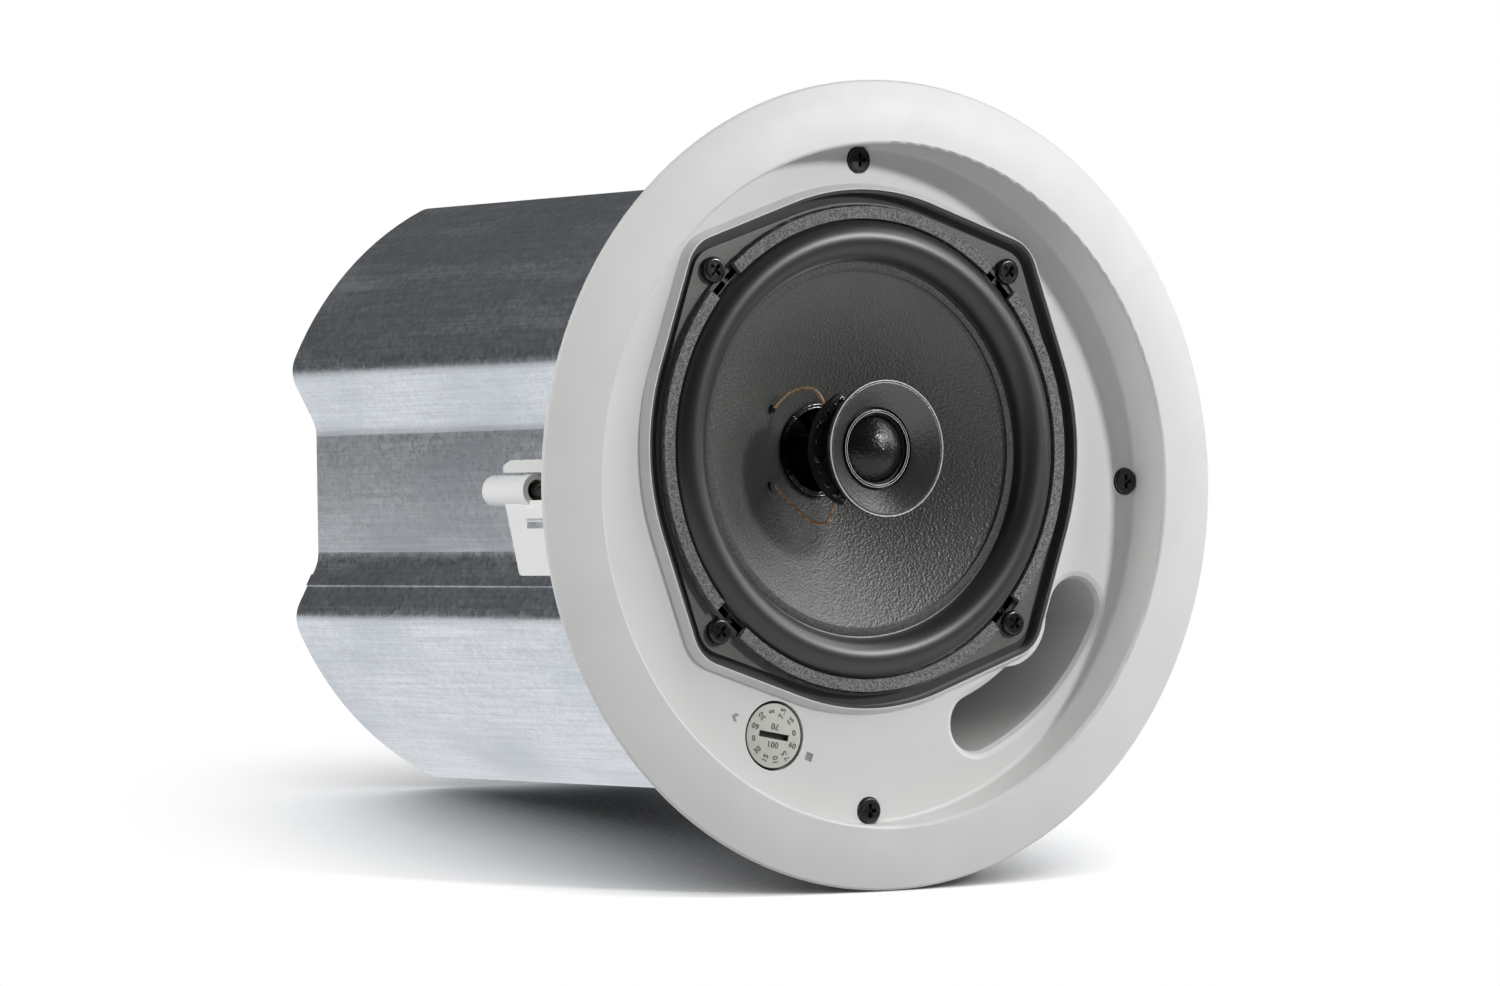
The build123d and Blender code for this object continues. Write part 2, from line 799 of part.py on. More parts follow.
# Input terminal on the pocket's floor
pocket_floor = cap_back - pocket_depth
with BuildPart() as input_terminal:
    with Locations((block_side, pocket_floor + block_height / 2, pocket_rise)):
        Box(block_length, block_height, block_width)
    chamfer(input_terminal.edges().group_by(Axis.Y)[-1], 1.0)
    with BuildSketch(Plane.XY.offset(pocket_rise + block_width / 2)):
        with Locations((block_side, pocket_floor + block_height / 2)):
            with GridLocations(block_length / pole_count, 0, pole_count, 1):
                Circle(wire_hole_radius)
    extrude(amount=-wire_hole_depth, mode=Mode.SUBTRACT)
    with BuildSketch(front_plane(pocket_floor + block_height)):
        with Locations((block_side, pocket_rise - block_width / 4)):
            with GridLocations(block_length / pole_count, 0, pole_count, 1):
                Circle(wire_hole_radius + 0.3)
    extrude(amount=2.0, mode=Mode.SUBTRACT)
save(input_terminal.part, "input_terminal")

# Bridge for the safety wire, spot-welded to the end cap
tab_x, tab_z = tab_place
with BuildPart() as safety_tab:
    with BuildSketch(Plane.XY.offset(tab_z)):
        with BuildLine():
            Polyline(
                (tab_x - tab_span / 2 - tab_foot, cap_back),
                (tab_x - tab_span / 2, cap_back),
                (tab_x - tab_span / 2 + tab_slope, cap_back + tab_rise),
                (tab_x + tab_span / 2 - tab_slope, cap_back + tab_rise),
                (tab_x + tab_span / 2, cap_back),
                (tab_x + tab_span / 2 + tab_foot, cap_back),
                (tab_x + tab_span / 2 + tab_foot, cap_back + tab_thickness),
                (tab_x + tab_span / 2 + tab_thickness / 2, cap_back + tab_thickness),
                (tab_x + tab_span / 2 - tab_slope + tab_thickness / 2, cap_back + tab_rise + tab_thickness),
                (tab_x - tab_span / 2 + tab_slope - tab_thickness / 2, cap_back + tab_rise + tab_thickness),
                (tab_x - tab_span / 2 - tab_thickness / 2, cap_back + tab_thickness),
                (tab_x - tab_span / 2 - tab_foot, cap_back + tab_thickness),
                close=True,
            )
        make_face()
    extrude(amount=tab_width / 2, both=True)
save(safety_tab.part, "safety_tab")

# Damping wadding: a thick blanket round the can's inside, open beside the port
with BuildPart() as damping_wadding:
    with BuildSketch(Plane.XY.rotated((0, wadding_start + wadding_span, 0))):
        with Locations((wadding_radius - wadding_thickness / 2, (wadding_front + wadding_back) / 2)):
            RectangleRounded(wadding_thickness, wadding_back - wadding_front, wadding_thickness / 3)
    revolve(axis=Axis.Y, revolution_arc=wadding_span)
save(damping_wadding.part.rotate(Axis.Y, -2 * (wadding_start + wadding_span)), "damping_wadding")

# Line transformer: laminated core, coil, bracket and its screws, carried by the end cap
core_back = cap_face - bracket_thickness - (coil_depth - core_depth) / 2 - 1.0
core_front = core_back - core_depth
core_middle = core_back - core_depth / 2
leg_length = (core_length - 2 * core_window_length) / 4
with BuildPart() as transformer_core:
    with Locations((core_x, core_middle, core_z)):
        Box(core_length, core_depth, core_height)
    with Locations((core_x, core_middle, core_z)):
        with Locations((-leg_length - core_window_length / 2, 0, 0), (leg_length + core_window_length / 2, 0, 0)):
            Box(core_window_length, core_depth, core_window_height, mode=Mode.SUBTRACT)
save(transformer_core.part, "transformer_core")

with BuildPart() as transformer_coil:
    with Locations((core_x, core_middle, core_z)):
        Box(
            2 * (leg_length + core_window_length - coil_gap),
            coil_depth,
            core_window_height - 2 * coil_gap,
        )
    fillet(transformer_coil.edges().filter_by(Axis.Z), coil_round)
    with Locations((core_x, core_middle, core_z)):
        Box(
            2 * (leg_length + coil_gap),
            core_depth + 2 * coil_gap,
            core_window_height,
            mode=Mode.SUBTRACT,
        )
save(transformer_coil.part, "transformer_coil")

band_front = core_front - bracket_thickness
with BuildPart() as transformer_bracket:
    with BuildSketch(Plane.XY.offset(core_z)):
        with BuildLine():
            Polyline(
                (core_x - bracket_x - bracket_foot, cap_face),
                (core_x - bracket_x - bracket_foot, cap_face - bracket_thickness),
                (core_x - bracket_x - bracket_thickness, cap_face - bracket_thickness),
                (core_x - bracket_x - bracket_thickness, band_front),
                (core_x + bracket_x + bracket_thickness, band_front),
                (core_x + bracket_x + bracket_thickness, cap_face - bracket_thickness),
                (core_x + bracket_x + bracket_foot, cap_face - bracket_thickness),
                (core_x + bracket_x + bracket_foot, cap_face),
                (core_x + bracket_x, cap_face),
                (core_x + bracket_x, core_front),
                (core_x - bracket_x, core_front),
                (core_x - bracket_x, cap_face),
                close=True,
            )
        make_face()
    extrude(amount=core_height / 2, both=True)
    with Locations((core_x, core_front, core_z)):
        Box(
            2 * (leg_length + core_window_length),
            core_depth / 2,
            core_window_height,
            mode=Mode.SUBTRACT,
        )
    with BuildSketch(front_plane(cap_face)):
        with Locations(*transformer_screw_places):
            Circle(small_screw_radius + thread_gap)
    extrude(amount=2 * bracket_thickness, mode=Mode.SUBTRACT)
save(transformer_bracket.part, "transformer_bracket")
small_screws("transformer_screws", cap_back, transformer_screw_places)

# Crossover board on four standoffs, with its capacitors, choke and resistors on the front
board_back = cap_face - board_lift
board_front = board_back - board_thickness
with BuildPart() as crossover_board:
    with BuildSketch(front_plane(board_back)):
        with Locations(board_place):
            RectangleRounded(board_length, board_width, 2.0)
        with Locations(*standoff_places):
            Circle(standoff_pin_radius + thread_gap, mode=Mode.SUBTRACT)
    extrude(amount=board_thickness)
save(crossover_board.part, "crossover_board")

with BuildPart() as board_standoffs:
    with BuildSketch(front_plane(cap_face)):
        with Locations(*standoff_places):
            Circle(standoff_radius)
    extrude(amount=board_lift)
    with BuildSketch(front_plane(cap_back)):
        with Locations(*standoff_places):
            Circle(standoff_pin_radius)
    extrude(amount=cap_wall + board_lift + board_thickness + 1.0)
save(board_standoffs.part, "board_standoffs")

with BuildPart() as crossover_capacitors:
    for side in capacitor_sides:
        with Locations((board_x + side, board_front - capacitor_radius - part_gap, board_z)):
            Cylinder(capacitor_radius, capacitor_length)
    fillet(crossover_capacitors.edges(), 0.6)
save(crossover_capacitors.part, "crossover_capacitors")

with BuildPart() as crossover_inductor:
    with BuildSketch(front_plane(board_front - part_gap)):
        with Locations((board_x + choke_side, board_z)):
            Circle(choke_radius)
            Circle(choke_bore, mode=Mode.SUBTRACT)
    extrude(amount=choke_height)
    fillet(crossover_inductor.edges(), 1.5)
save(crossover_inductor.part, "crossover_inductor")

with BuildPart() as crossover_resistors:
    for rise in (-resistor_rise, resistor_rise):
        with Locations(
            Location((board_x, board_front - resistor_radius - part_gap, board_z + rise), (0, 90, 0))
        ):
            Cylinder(resistor_radius, resistor_length)
    fillet(crossover_resistors.edges(), 0.8)
save(crossover_resistors.part, "crossover_resistors")

# Driver frame: a pressed basket with a lobed front plate, windows and a shelf for the spider
plate_back = driver_face + plate_thickness
cup_inner = basket_cup_radius - basket_wall
neck_outer = basket_neck_radius + basket_wall
with BuildPart() as driver_frame:
    with BuildSketch(driver_section):
        with BuildLine():
            Polyline(
                (cup_inner, driver_face),
                (plate_ring_radius, driver_face),
                (plate_ring_radius, plate_back),
                (basket_cup_radius, plate_back),
                (basket_cup_radius, basket_cup_back),
                (spider_shelf_radius + basket_wall, spider_shelf),
                (spider_shelf_radius + basket_wall, spider_shelf + shelf_wall),
                (neck_outer, spider_shelf + shelf_wall),
                (neck_outer, basket_base),
                (basket_base_hole, basket_base),
                (basket_base_hole, basket_base - shelf_wall),
                (basket_neck_radius, basket_base - shelf_wall),
                (basket_neck_radius, spider_shelf),
                (spider_shelf_radius, spider_shelf),
                (cup_inner, basket_cup_back - 0.2),
                close=True,
            )
        make_face()
    revolve(axis=driver_axis)
    with BuildSketch(front_plane(driver_face, driver_rise)):
        add(lobed_outline(plate_radius, plate_ear_radius))
        Circle(plate_ring_radius - 1, mode=Mode.SUBTRACT)
        with PolarLocations(driver_screw_pitch, 4, start_angle=45):
            Circle(driver_screw_radius + thread_gap, mode=Mode.SUBTRACT)
    extrude(amount=-plate_thickness)
    for window in range(window_count):
        angle = 360 / window_count * window
        outward = Vector(cos(radians(angle)), 0, sin(radians(angle)))
        window_plane = Plane(
            origin=Vector(0, (window_front + window_back) / 2, driver_rise) + outward * spider_shelf_radius,
            x_dir=(-sin(radians(angle)), 0, cos(radians(angle))),
            z_dir=outward,
        )
        with BuildSketch(window_plane):
            RectangleRounded(window_width, window_back - window_front, 4.0)
        extrude(amount=basket_cup_radius - spider_shelf_radius, mode=Mode.SUBTRACT)
save(driver_frame.part, "driver_frame")

# Driver screws
with BuildPart() as driver_screws:
    with BuildSketch(front_plane(driver_face, driver_rise)):
        with PolarLocations(driver_screw_pitch, 4, start_angle=45):
            Circle(driver_screw_head_radius)
    extrude(amount=driver_screw_head)
    fillet(driver_screws.edges().group_by(Axis.Y)[0], 1.1)
    with BuildSketch(front_plane(driver_face - driver_screw_head, driver_rise)):
        with PolarLocations(driver_screw_pitch, 4, start_angle=45):
            Rectangle(clamp_cross, clamp_cross_width)
            Rectangle(clamp_cross_width, clamp_cross)
    extrude(amount=-clamp_cross_depth, mode=Mode.SUBTRACT)
    with BuildSketch(front_plane(driver_face, driver_rise)):
        with PolarLocations(driver_screw_pitch, 4, start_angle=45):
            Circle(driver_screw_radius)
    extrude(amount=-driver_screw_length)
save(driver_screws.part, "driver_screws")

# Gasket: four arcs on the surround's flange, with a notch at each ear
flange_front = driver_face - surround_thickness
with BuildPart() as driver_gasket:
    for quarter in range(4):
        arc_plane = Plane(
            origin=(0, 0, driver_rise),
            x_dir=Vector(1, 0, 0).rotate(Axis.Y, 90 * quarter + gasket_span / 2),
            z_dir=Vector(0, 0, 1).rotate(Axis.Y, 90 * quarter + gasket_span / 2),
        )
        with BuildSketch(arc_plane):
            with BuildLine():
                Polyline(
                    (gasket_inner_radius, flange_front),
                    (gasket_outer_radius, flange_front),
                    (gasket_outer_radius, gasket_front),
                    (gasket_inner_radius, gasket_front),
                    close=True,
                )
            make_face()
        revolve(axis=driver_axis, revolution_arc=-gasket_span)
save(driver_gasket.part, "driver_gasket")

# Rubber surround: flange, half roll and the flat landing glued to the cone
with BuildPart() as surround:
    with BuildSketch(driver_section):
        with BuildLine():
            Line((surround_outer_radius, flange_front), (roll_outer_radius, flange_front))
            ThreePointArc(
                (roll_outer_radius, flange_front),
                (roll_crest_radius, roll_crest),
                (roll_inner_radius, landing_depth),
            )
            Polyline(
                (roll_inner_radius, landing_depth),
                (cone_edge_radius, landing_depth),
                (cone_edge_radius, landing_depth + surround_thickness),
                (roll_inner_radius + 0.2, landing_depth + surround_thickness),
            )
            ThreePointArc(
                (roll_inner_radius + 0.2, landing_depth + surround_thickness),
                (roll_crest_radius, roll_crest + surround_thickness),
                (roll_outer_radius - 0.4, flange_front + surround_thickness),
            )
            Polyline(
                (roll_outer_radius - 0.4, flange_front + surround_thickness),
                (surround_outer_radius, flange_front + surround_thickness),
                (surround_outer_radius, flange_front),
            )
        make_face()
    revolve(axis=driver_axis)
save(surround.part, "surround")

# Cone, glued to the voice coil's former at its neck
cone_front = landing_depth + surround_thickness + landing_gap
neck_inner = former_radius + former_wall + coil_fit
with BuildPart() as cone:
    with BuildSketch(driver_section):
        with BuildLine():
            Line((cone_radius, cone_front), (cone_edge_radius, cone_front))
            cone_line = ThreePointArc(
                (cone_edge_radius, cone_front),
                cone_belly,
                (neck_inner, neck_depth),
            )
            Line((neck_inner, neck_depth), (neck_inner, neck_depth + cone_thickness + 0.1))
            ThreePointArc(
                (neck_inner, neck_depth + cone_thickness + 0.1),
                (cone_belly[0], cone_belly[1] + cone_thickness + 0.1),
                (cone_edge_radius + 0.3, cone_front + cone_thickness),
            )
            Polyline(
                (cone_edge_radius + 0.3, cone_front + cone_thickness),
                (cone_radius, cone_front + cone_thickness),
                (cone_radius, cone_front),
            )
        make_face()
    revolve(axis=driver_axis)
    eyelet_point = cone_line @ eyelet_place
    eyelet_run = cone_line % eyelet_place
    eyelet_planes = []
    for angle in eyelet_angles:
        outward = Vector(cos(radians(angle)), 0, sin(radians(angle)))
        eyelet_planes.append(
            Plane(
                origin=Vector(0, eyelet_point.Y, driver_rise) + outward * eyelet_point.X,
                x_dir=(-sin(radians(angle)), 0, cos(radians(angle))),
                z_dir=outward * -abs(eyelet_run.Y) + Vector(0, -abs(eyelet_run.X), 0),
            )
        )
    for plane in eyelet_planes:
        with Locations(plane):
            Cylinder(eyelet_shank_radius + eyelet_gap, 4 * cone_thickness, mode=Mode.SUBTRACT)
save(cone.part, "cone")

with BuildPart() as lead_eyelets:
    for plane in eyelet_planes:
        with Locations(plane * Location((0, 0, eyelet_gap))):
            Cylinder(eyelet_radius, eyelet_head, align=(Align.CENTER, Align.CENTER, Align.MIN))
        with Locations(plane):
            Cylinder(eyelet_shank_radius, 3 * cone_thickness)
save(lead_eyelets.part, "lead_eyelets")

# Voice coil: former with a collar at the neck, and the winding in the magnet's gap
with BuildPart() as voice_coil_former:
    with BuildSketch(driver_section):
        with BuildLine():
            Polyline(
                (former_radius, former_front),
                (former_radius + former_wall + former_collar, former_front),
                (former_radius + former_wall + former_collar, former_front + former_collar_length),
                (former_radius + former_wall, former_front + former_collar_length),
                (former_radius + former_wall, former_back),
                (former_radius, former_back),
                close=True,
            )
        make_face()
    revolve(axis=driver_axis)
save(voice_coil_former.part, "voice_coil_former")

with BuildPart() as voice_coil_winding:
    with BuildSketch(driver_section):
        with Locations((neck_inner + winding_wall / 2, (winding_front + winding_back) / 2)):
            Rectangle(winding_wall, winding_back - winding_front)
    revolve(axis=driver_axis)
save(voice_coil_winding.part, "voice_coil_winding")

# Spider: a corrugated cloth disc that centres the coil
spider_inner = former_radius + former_wall + soft_gap
spider_middle = spider_shelf - spider_thickness / 2 - spider_wave
with BuildPart() as spider:
    with BuildSketch(driver_section):
        steps = 8 * spider_waves
        front_side = []
        back_side = []
        for step in range(steps + 1):
            reach = spider_inner + 1.5 + (spider_flat_radius - spider_inner - 1.5) * step / steps
            rise = spider_middle + spider_wave * cos(2 * 3.141592653589793 * spider_waves * step / steps)
            front_side.append((reach, rise - spider_thickness / 2))
            back_side.append((reach, rise + spider_thickness / 2))
        with BuildLine():
            Spline(*front_side)
            Polyline(
                front_side[-1],
                (spider_outer_radius, spider_shelf - spider_thickness),
                (spider_outer_radius, spider_shelf),
                back_side[-1],
            )
            Spline(*reversed(back_side))
            Polyline(
                back_side[0],
                (spider_inner, back_side[0][1]),
                (spider_inner, front_side[0][1]),
                front_side[0],
            )
        make_face()
    revolve(axis=driver_axis)
save(spider.part, "spider")

# Magnet system: top plate, ring magnet and back plate with its pole
magnet_front = basket_base + top_plate_thickness
magnet_back = magnet_front + magnet_thickness
with BuildPart() as top_plate:
    with BuildSketch(front_plane(basket_base, driver_rise)):
        Circle(top_plate_radius)
        Circle(gap_radius, mode=Mode.SUBTRACT)
    extrude(amount=-top_plate_thickness)
    chamfer(top_plate.edges().filter_by(GeomType.CIRCLE).group_by(SortBy.RADIUS)[-1], 0.5)
save(top_plate.part, "top_plate")

with BuildPart() as magnet:
    with BuildSketch(front_plane(magnet_front, driver_rise)):
        Circle(magnet_radius)
        Circle(magnet_bore, mode=Mode.SUBTRACT)
    extrude(amount=-magnet_thickness)
    chamfer(magnet.edges().filter_by(GeomType.CIRCLE).group_by(SortBy.RADIUS)[-1], 1.0)
save(magnet.part, "magnet")

with BuildPart() as pole_piece:
    with BuildSketch(front_plane(magnet_back, driver_rise)):
        Circle(top_plate_radius)
    extrude(amount=-back_plate_thickness)
    chamfer(pole_piece.edges().group_by(Axis.Y)[-1], 1.0)
    with BuildSketch(front_plane(magnet_back, driver_rise)):
        Circle(pole_radius)
    extrude(amount=magnet_back - pole_front)
    chamfer(pole_piece.edges().group_by(Axis.Y)[0], 0.6)
save(pole_piece.part, "pole_piece")

# Driver's terminal board between the shelf and the top plate
with BuildPart() as driver_terminals:
    outward = Vector(cos(radians(terminal_angle)), 0, sin(radians(terminal_angle)))
    terminal_front = spider_shelf + shelf_wall + soft_gap
    terminal_back = basket_base - soft_gap
    board_plane = Plane(
        origin=Vector(0, (terminal_front + terminal_back) / 2, driver_rise) + outward * (neck_outer + soft_gap),
        x_dir=(-sin(radians(terminal_angle)), 0, cos(radians(terminal_angle))),
        z_dir=outward,
    )
    with BuildSketch(board_plane):
        Rectangle(terminal_width, terminal_back - terminal_front)
    extrude(amount=terminal_thickness)
    with BuildSketch(board_plane.offset(terminal_thickness)):
        with GridLocations(terminal_width / 2, 0, 2, 1):
            Rectangle(2.8, 0.8)
    extrude(amount=6.0)
save(driver_terminals.part, "driver_terminals")

# Tweeter on its post in front of the pole
with BuildPart() as tweeter_post:
    with BuildSketch(front_plane(housing_neck_back, driver_rise)):
        Circle(post_radius)
    extrude(amount=housing_neck_back - pole_front)
save(tweeter_post.part, "tweeter_post")

with BuildPart() as tweeter_housing:
    with BuildSketch(driver_section):
        with BuildLine():
            Polyline(
                (0, housing_neck_back),
                (housing_neck_radius, housing_neck_back),
                (housing_neck_radius, housing_neck_front),
                (housing_radius, housing_back),
                (housing_radius, housing_front),
                (housing_radius - housing_wall, housing_front),
                (housing_radius - housing_wall, housing_back - 0.6),
                (housing_neck_radius - housing_wall, housing_neck_front - 0.6),
                (housing_neck_radius - housing_wall, housing_neck_back - housing_wall),
                (0, housing_neck_back - housing_wall),
                close=True,
            )
        make_face()
    revolve(axis=driver_axis)
save(tweeter_housing.part, "tweeter_housing")

with BuildPart() as tweeter_magnet:
    with BuildSketch(front_plane(housing_front, driver_rise)):
        Circle(housing_radius - housing_wall - soft_gap)
    extrude(amount=housing_front - tweeter_magnet_back)
save(tweeter_magnet.part, "tweeter_magnet")

with BuildPart() as tweeter_flare:
    with BuildSketch(driver_section):
        with BuildLine():
            ThreePointArc(
                (flare_radius - flare_edge, flare_front),
                flare_belly,
                (flare_inner_radius, flare_inner_depth),
            )
            Polyline(
                (flare_inner_radius, flare_inner_depth),
                (flare_inner_radius, flare_back),
                (flare_root_radius, flare_back),
                (flare_radius, flare_front + 2 * flare_edge),
                (flare_radius, flare_front + flare_edge),
            )
            TangentArc(
                (flare_radius, flare_front + flare_edge),
                (flare_radius - flare_edge, flare_front),
                tangent=(0, -1),
            )
        make_face()
    revolve(axis=driver_axis)
save(tweeter_flare.part, "tweeter_flare")

with BuildPart() as tweeter_ring:
    with BuildSketch(driver_section):
        with Locations((ring_radius, (ring_front + flare_back) / 2)):
            Rectangle(ring_width, flare_back - ring_front)
    revolve(axis=driver_axis)
    fillet(tweeter_ring.edges().group_by(Axis.Y)[0], 0.3)
save(tweeter_ring.part, "tweeter_ring")

cap_curve = (dome_radius**2 + dome_height**2) / (2 * dome_height)
cap_centre = flare_back + cap_curve - dome_height
half_turn = atan2(dome_radius, cap_curve - dome_height) / 2
with BuildPart() as tweeter_dome:
    with BuildSketch(driver_section):
        with BuildLine():
            ThreePointArc(
                (dome_radius, flare_back),
                (cap_curve * sin(half_turn), cap_centre - cap_curve * cos(half_turn)),
                (0, flare_back - dome_height),
            )
            Line((0, flare_back - dome_height), (0, flare_back - dome_height + dome_thickness))
            ThreePointArc(
                (0, flare_back - dome_height + dome_thickness),
                (
                    (cap_curve - dome_thickness) * sin(half_turn),
                    cap_centre - (cap_curve - dome_thickness) * cos(half_turn),
                ),
                (dome_radius - 1.6 * dome_thickness, flare_back),
            )
            Line((dome_radius - 1.6 * dome_thickness, flare_back), (dome_radius, flare_back))
        make_face()
    revolve(axis=driver_axis)
save(tweeter_dome.part, "tweeter_dome")

# Terminal strip round the left of the tweeter's housing, and the two leads from the cone
strip_start = strip_middle + strip_span / 2
with BuildPart() as tweeter_terminal_strip:
    strip_plane = Plane(
        origin=(0, 0, driver_rise),
        x_dir=Vector(1, 0, 0).rotate(Axis.Y, -strip_start),
        z_dir=Vector(0, 0, 1).rotate(Axis.Y, -strip_start),
    )
    with BuildSketch(strip_plane):
        with Locations(((strip_inner_radius + strip_outer_radius) / 2, (strip_front + strip_back) / 2)):
            Rectangle(strip_outer_radius - strip_inner_radius, strip_back - strip_front)
    revolve(axis=driver_axis, revolution_arc=strip_span)
save(tweeter_terminal_strip.part, "tweeter_terminal_strip")

for lead_name, route in (("upper", upper_lead_route), ("lower", lower_lead_route)):
    with BuildPart() as lead:
        with BuildLine():
            lead_line = lead_path(route)
        with BuildSketch(Plane(origin=lead_line @ 0, z_dir=lead_line % 0)):
            Circle(lead_radius)
        sweep()
    save(lead.part, f"tweeter_lead_{lead_name}")

# Selector: a slotted dial in the floor and the rotary switch behind it
dial_x, dial_z = dial_place
dial_face = floor_depth + dial_face_drop
dial_back = dial_face + dial_thickness
with BuildPart() as tap_selector_dial:
    with BuildSketch(front_plane(dial_face)):
        with Locations(dial_place):
            Circle(dial_radius)
    extrude(amount=-dial_thickness)
    with BuildSketch(front_plane(dial_face)):
        with Locations(Location((dial_x, dial_z, 0), (0, 0, dial_slot_angle))):
            Rectangle(dial_slot_length, dial_slot_width)
    extrude(amount=-dial_slot_depth, mode=Mode.SUBTRACT)
    with BuildSketch(front_plane(dial_back)):
        with Locations(dial_place):
            Circle(dial_shaft_radius)
    extrude(amount=-dial_shaft_length)
save(tap_selector_dial.part, "tap_selector_dial")

with BuildPart() as selector_switch:
    with BuildSketch(front_plane(floor_back)):
        with Locations(dial_place):
            Circle(switch_flange_radius)
    extrude(amount=-switch_flange)
    with BuildSketch(front_plane(floor_back + switch_flange)):
        with Locations(dial_place):
            Circle(switch_radius)
    extrude(amount=switch_flange - switch_depth)
    with BuildSketch(front_plane(floor_back)):
        with Locations(dial_place):
            Circle(dial_shaft_radius + shaft_gap)
    extrude(amount=-dial_shaft_length - soft_gap, mode=Mode.SUBTRACT)
    with BuildSketch(front_plane(floor_back + switch_depth)):
        with Locations(dial_place):
            with PolarLocations(switch_radius - 2.5, 6):
                Circle(switch_tag_radius)
    extrude(amount=-switch_tag_length)
save(selector_switch.part, "selector_switch")

# Clamps: each has a screw from the front, a captive nut and an ear that swings out and travels along the screw
for quarter, clamp_name in enumerate(clamp_names):
    turn = 90 * quarter
    centre = clamp_centre(turn)
    head_seat = clamp_head_front + clamp_head - 0.05
    with BuildPart() as clamp_screw:
        with BuildSketch(front_plane(clamp_head_front)):
            with Locations(centre):
                Circle(clamp_head_radius)
        extrude(amount=clamp_head_front - head_seat)
        fillet(clamp_screw.edges().group_by(Axis.Y)[0], 0.7)
        with BuildSketch(front_plane(clamp_head_front)):
            with Locations(centre):
                Rectangle(clamp_cross, clamp_cross_width)
                Rectangle(clamp_cross_width, clamp_cross)
        extrude(amount=-clamp_cross_depth, mode=Mode.SUBTRACT)
        with BuildSketch(front_plane(head_seat)):
            with Locations(centre):
                Circle(clamp_shank_radius)
        extrude(amount=head_seat - clamp_shank_end)
        chamfer(clamp_screw.edges().group_by(Axis.Y)[-1], 0.4)
    save(clamp_screw.part, f"clamp_screw_{clamp_name}")

    with BuildPart() as clamp_nut:
        with BuildSketch(front_plane(nut_front)):
            with Locations(centre):
                Circle(ear_bore_radius - nut_gap)
                Circle(clamp_shank_radius + ear_bore_gap, mode=Mode.SUBTRACT)
        extrude(amount=-nut_length)
    save(clamp_nut.part, f"clamp_nut_{clamp_name}")

    with BuildPart() as clamp_ear:
        with BuildSketch(front_plane(ear_front)):
            with Locations(centre):
                Circle(ear_boss_radius)
        extrude(amount=ear_front - ear_tail)
        fillet(clamp_ear.edges().group_by(Axis.Y)[-1], ear_edge_round)
        with BuildSketch(front_plane(ear_front)):
            with Locations(centre):
                Circle(ear_boss_radius + ear_ring)
        extrude(amount=ear_front - ear_ring_back)
        with BuildSketch(clamp_plane(turn, clamp_pitch + arm_inner)):
            with BuildLine():
                Polyline(
                    (arm_root, -arm_heel),
                    (arm_heel_end, -arm_heel),
                    (arm_heel_end, -arm_front),
                    (arm_reach, -arm_front),
                    (arm_reach, -arm_tip_back),
                    (arm_root, -arm_root_back),
                    close=True,
                )
            arm_face = make_face()
            fillet(arm_face.vertices().group_by(Axis.X)[-1], arm_tip_round)
            with Locations((arm_slot_near + arm_slot_width / 2, -(arm_slot_front + arm_slot_back) / 2)):
                Rectangle(arm_slot_width, arm_slot_back - arm_slot_front, mode=Mode.SUBTRACT)
        extrude(amount=arm_outer - arm_inner)
        with BuildSketch(clamp_plane(turn, clamp_pitch + arm_outer)):
            with Locations(((pad_near + pad_far) / 2, -(arm_front + pad_back) / 2)):
                Rectangle(pad_far - pad_near, pad_back - arm_front)
        extrude(amount=pad_height - arm_outer)
        with BuildSketch(front_plane(arm_front)):
            with Locations(centre):
                Circle(ear_bore_radius)
        extrude(amount=arm_front - ear_bore_end, mode=Mode.SUBTRACT)
    save(clamp_ear.part, f"clamp_ear_{clamp_name}")
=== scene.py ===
"""A ceiling loudspeaker with a fluted back can, dressed over its CAD frame and lit on white."""

import logging
import math
from abc import ABC, abstractmethod
from dataclasses import dataclass
from enum import Enum
from typing import Sequence

import bpy
from mathutils import Matrix, Vector
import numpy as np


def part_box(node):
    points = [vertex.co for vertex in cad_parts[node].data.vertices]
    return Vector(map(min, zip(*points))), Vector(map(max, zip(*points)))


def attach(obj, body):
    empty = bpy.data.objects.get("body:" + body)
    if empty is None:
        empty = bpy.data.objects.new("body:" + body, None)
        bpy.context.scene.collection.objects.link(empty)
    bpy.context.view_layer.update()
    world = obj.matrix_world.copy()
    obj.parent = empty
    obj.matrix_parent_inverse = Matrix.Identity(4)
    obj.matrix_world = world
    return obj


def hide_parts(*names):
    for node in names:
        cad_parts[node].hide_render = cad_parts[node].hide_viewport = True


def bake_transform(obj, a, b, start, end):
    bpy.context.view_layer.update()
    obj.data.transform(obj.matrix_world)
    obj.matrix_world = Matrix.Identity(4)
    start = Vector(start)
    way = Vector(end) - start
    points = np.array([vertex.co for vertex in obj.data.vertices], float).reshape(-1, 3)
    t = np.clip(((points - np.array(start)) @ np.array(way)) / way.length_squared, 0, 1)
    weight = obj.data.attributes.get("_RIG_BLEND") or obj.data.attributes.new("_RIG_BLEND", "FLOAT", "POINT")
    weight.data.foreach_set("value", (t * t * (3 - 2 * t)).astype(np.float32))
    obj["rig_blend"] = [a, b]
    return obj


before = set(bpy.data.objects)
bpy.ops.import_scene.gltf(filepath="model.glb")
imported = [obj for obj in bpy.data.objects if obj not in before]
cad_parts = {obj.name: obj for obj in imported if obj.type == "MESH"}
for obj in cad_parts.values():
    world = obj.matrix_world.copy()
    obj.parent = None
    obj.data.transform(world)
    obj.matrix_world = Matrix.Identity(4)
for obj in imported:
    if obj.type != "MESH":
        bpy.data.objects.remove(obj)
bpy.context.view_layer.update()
LOG = logging.getLogger("ceiling_speaker")
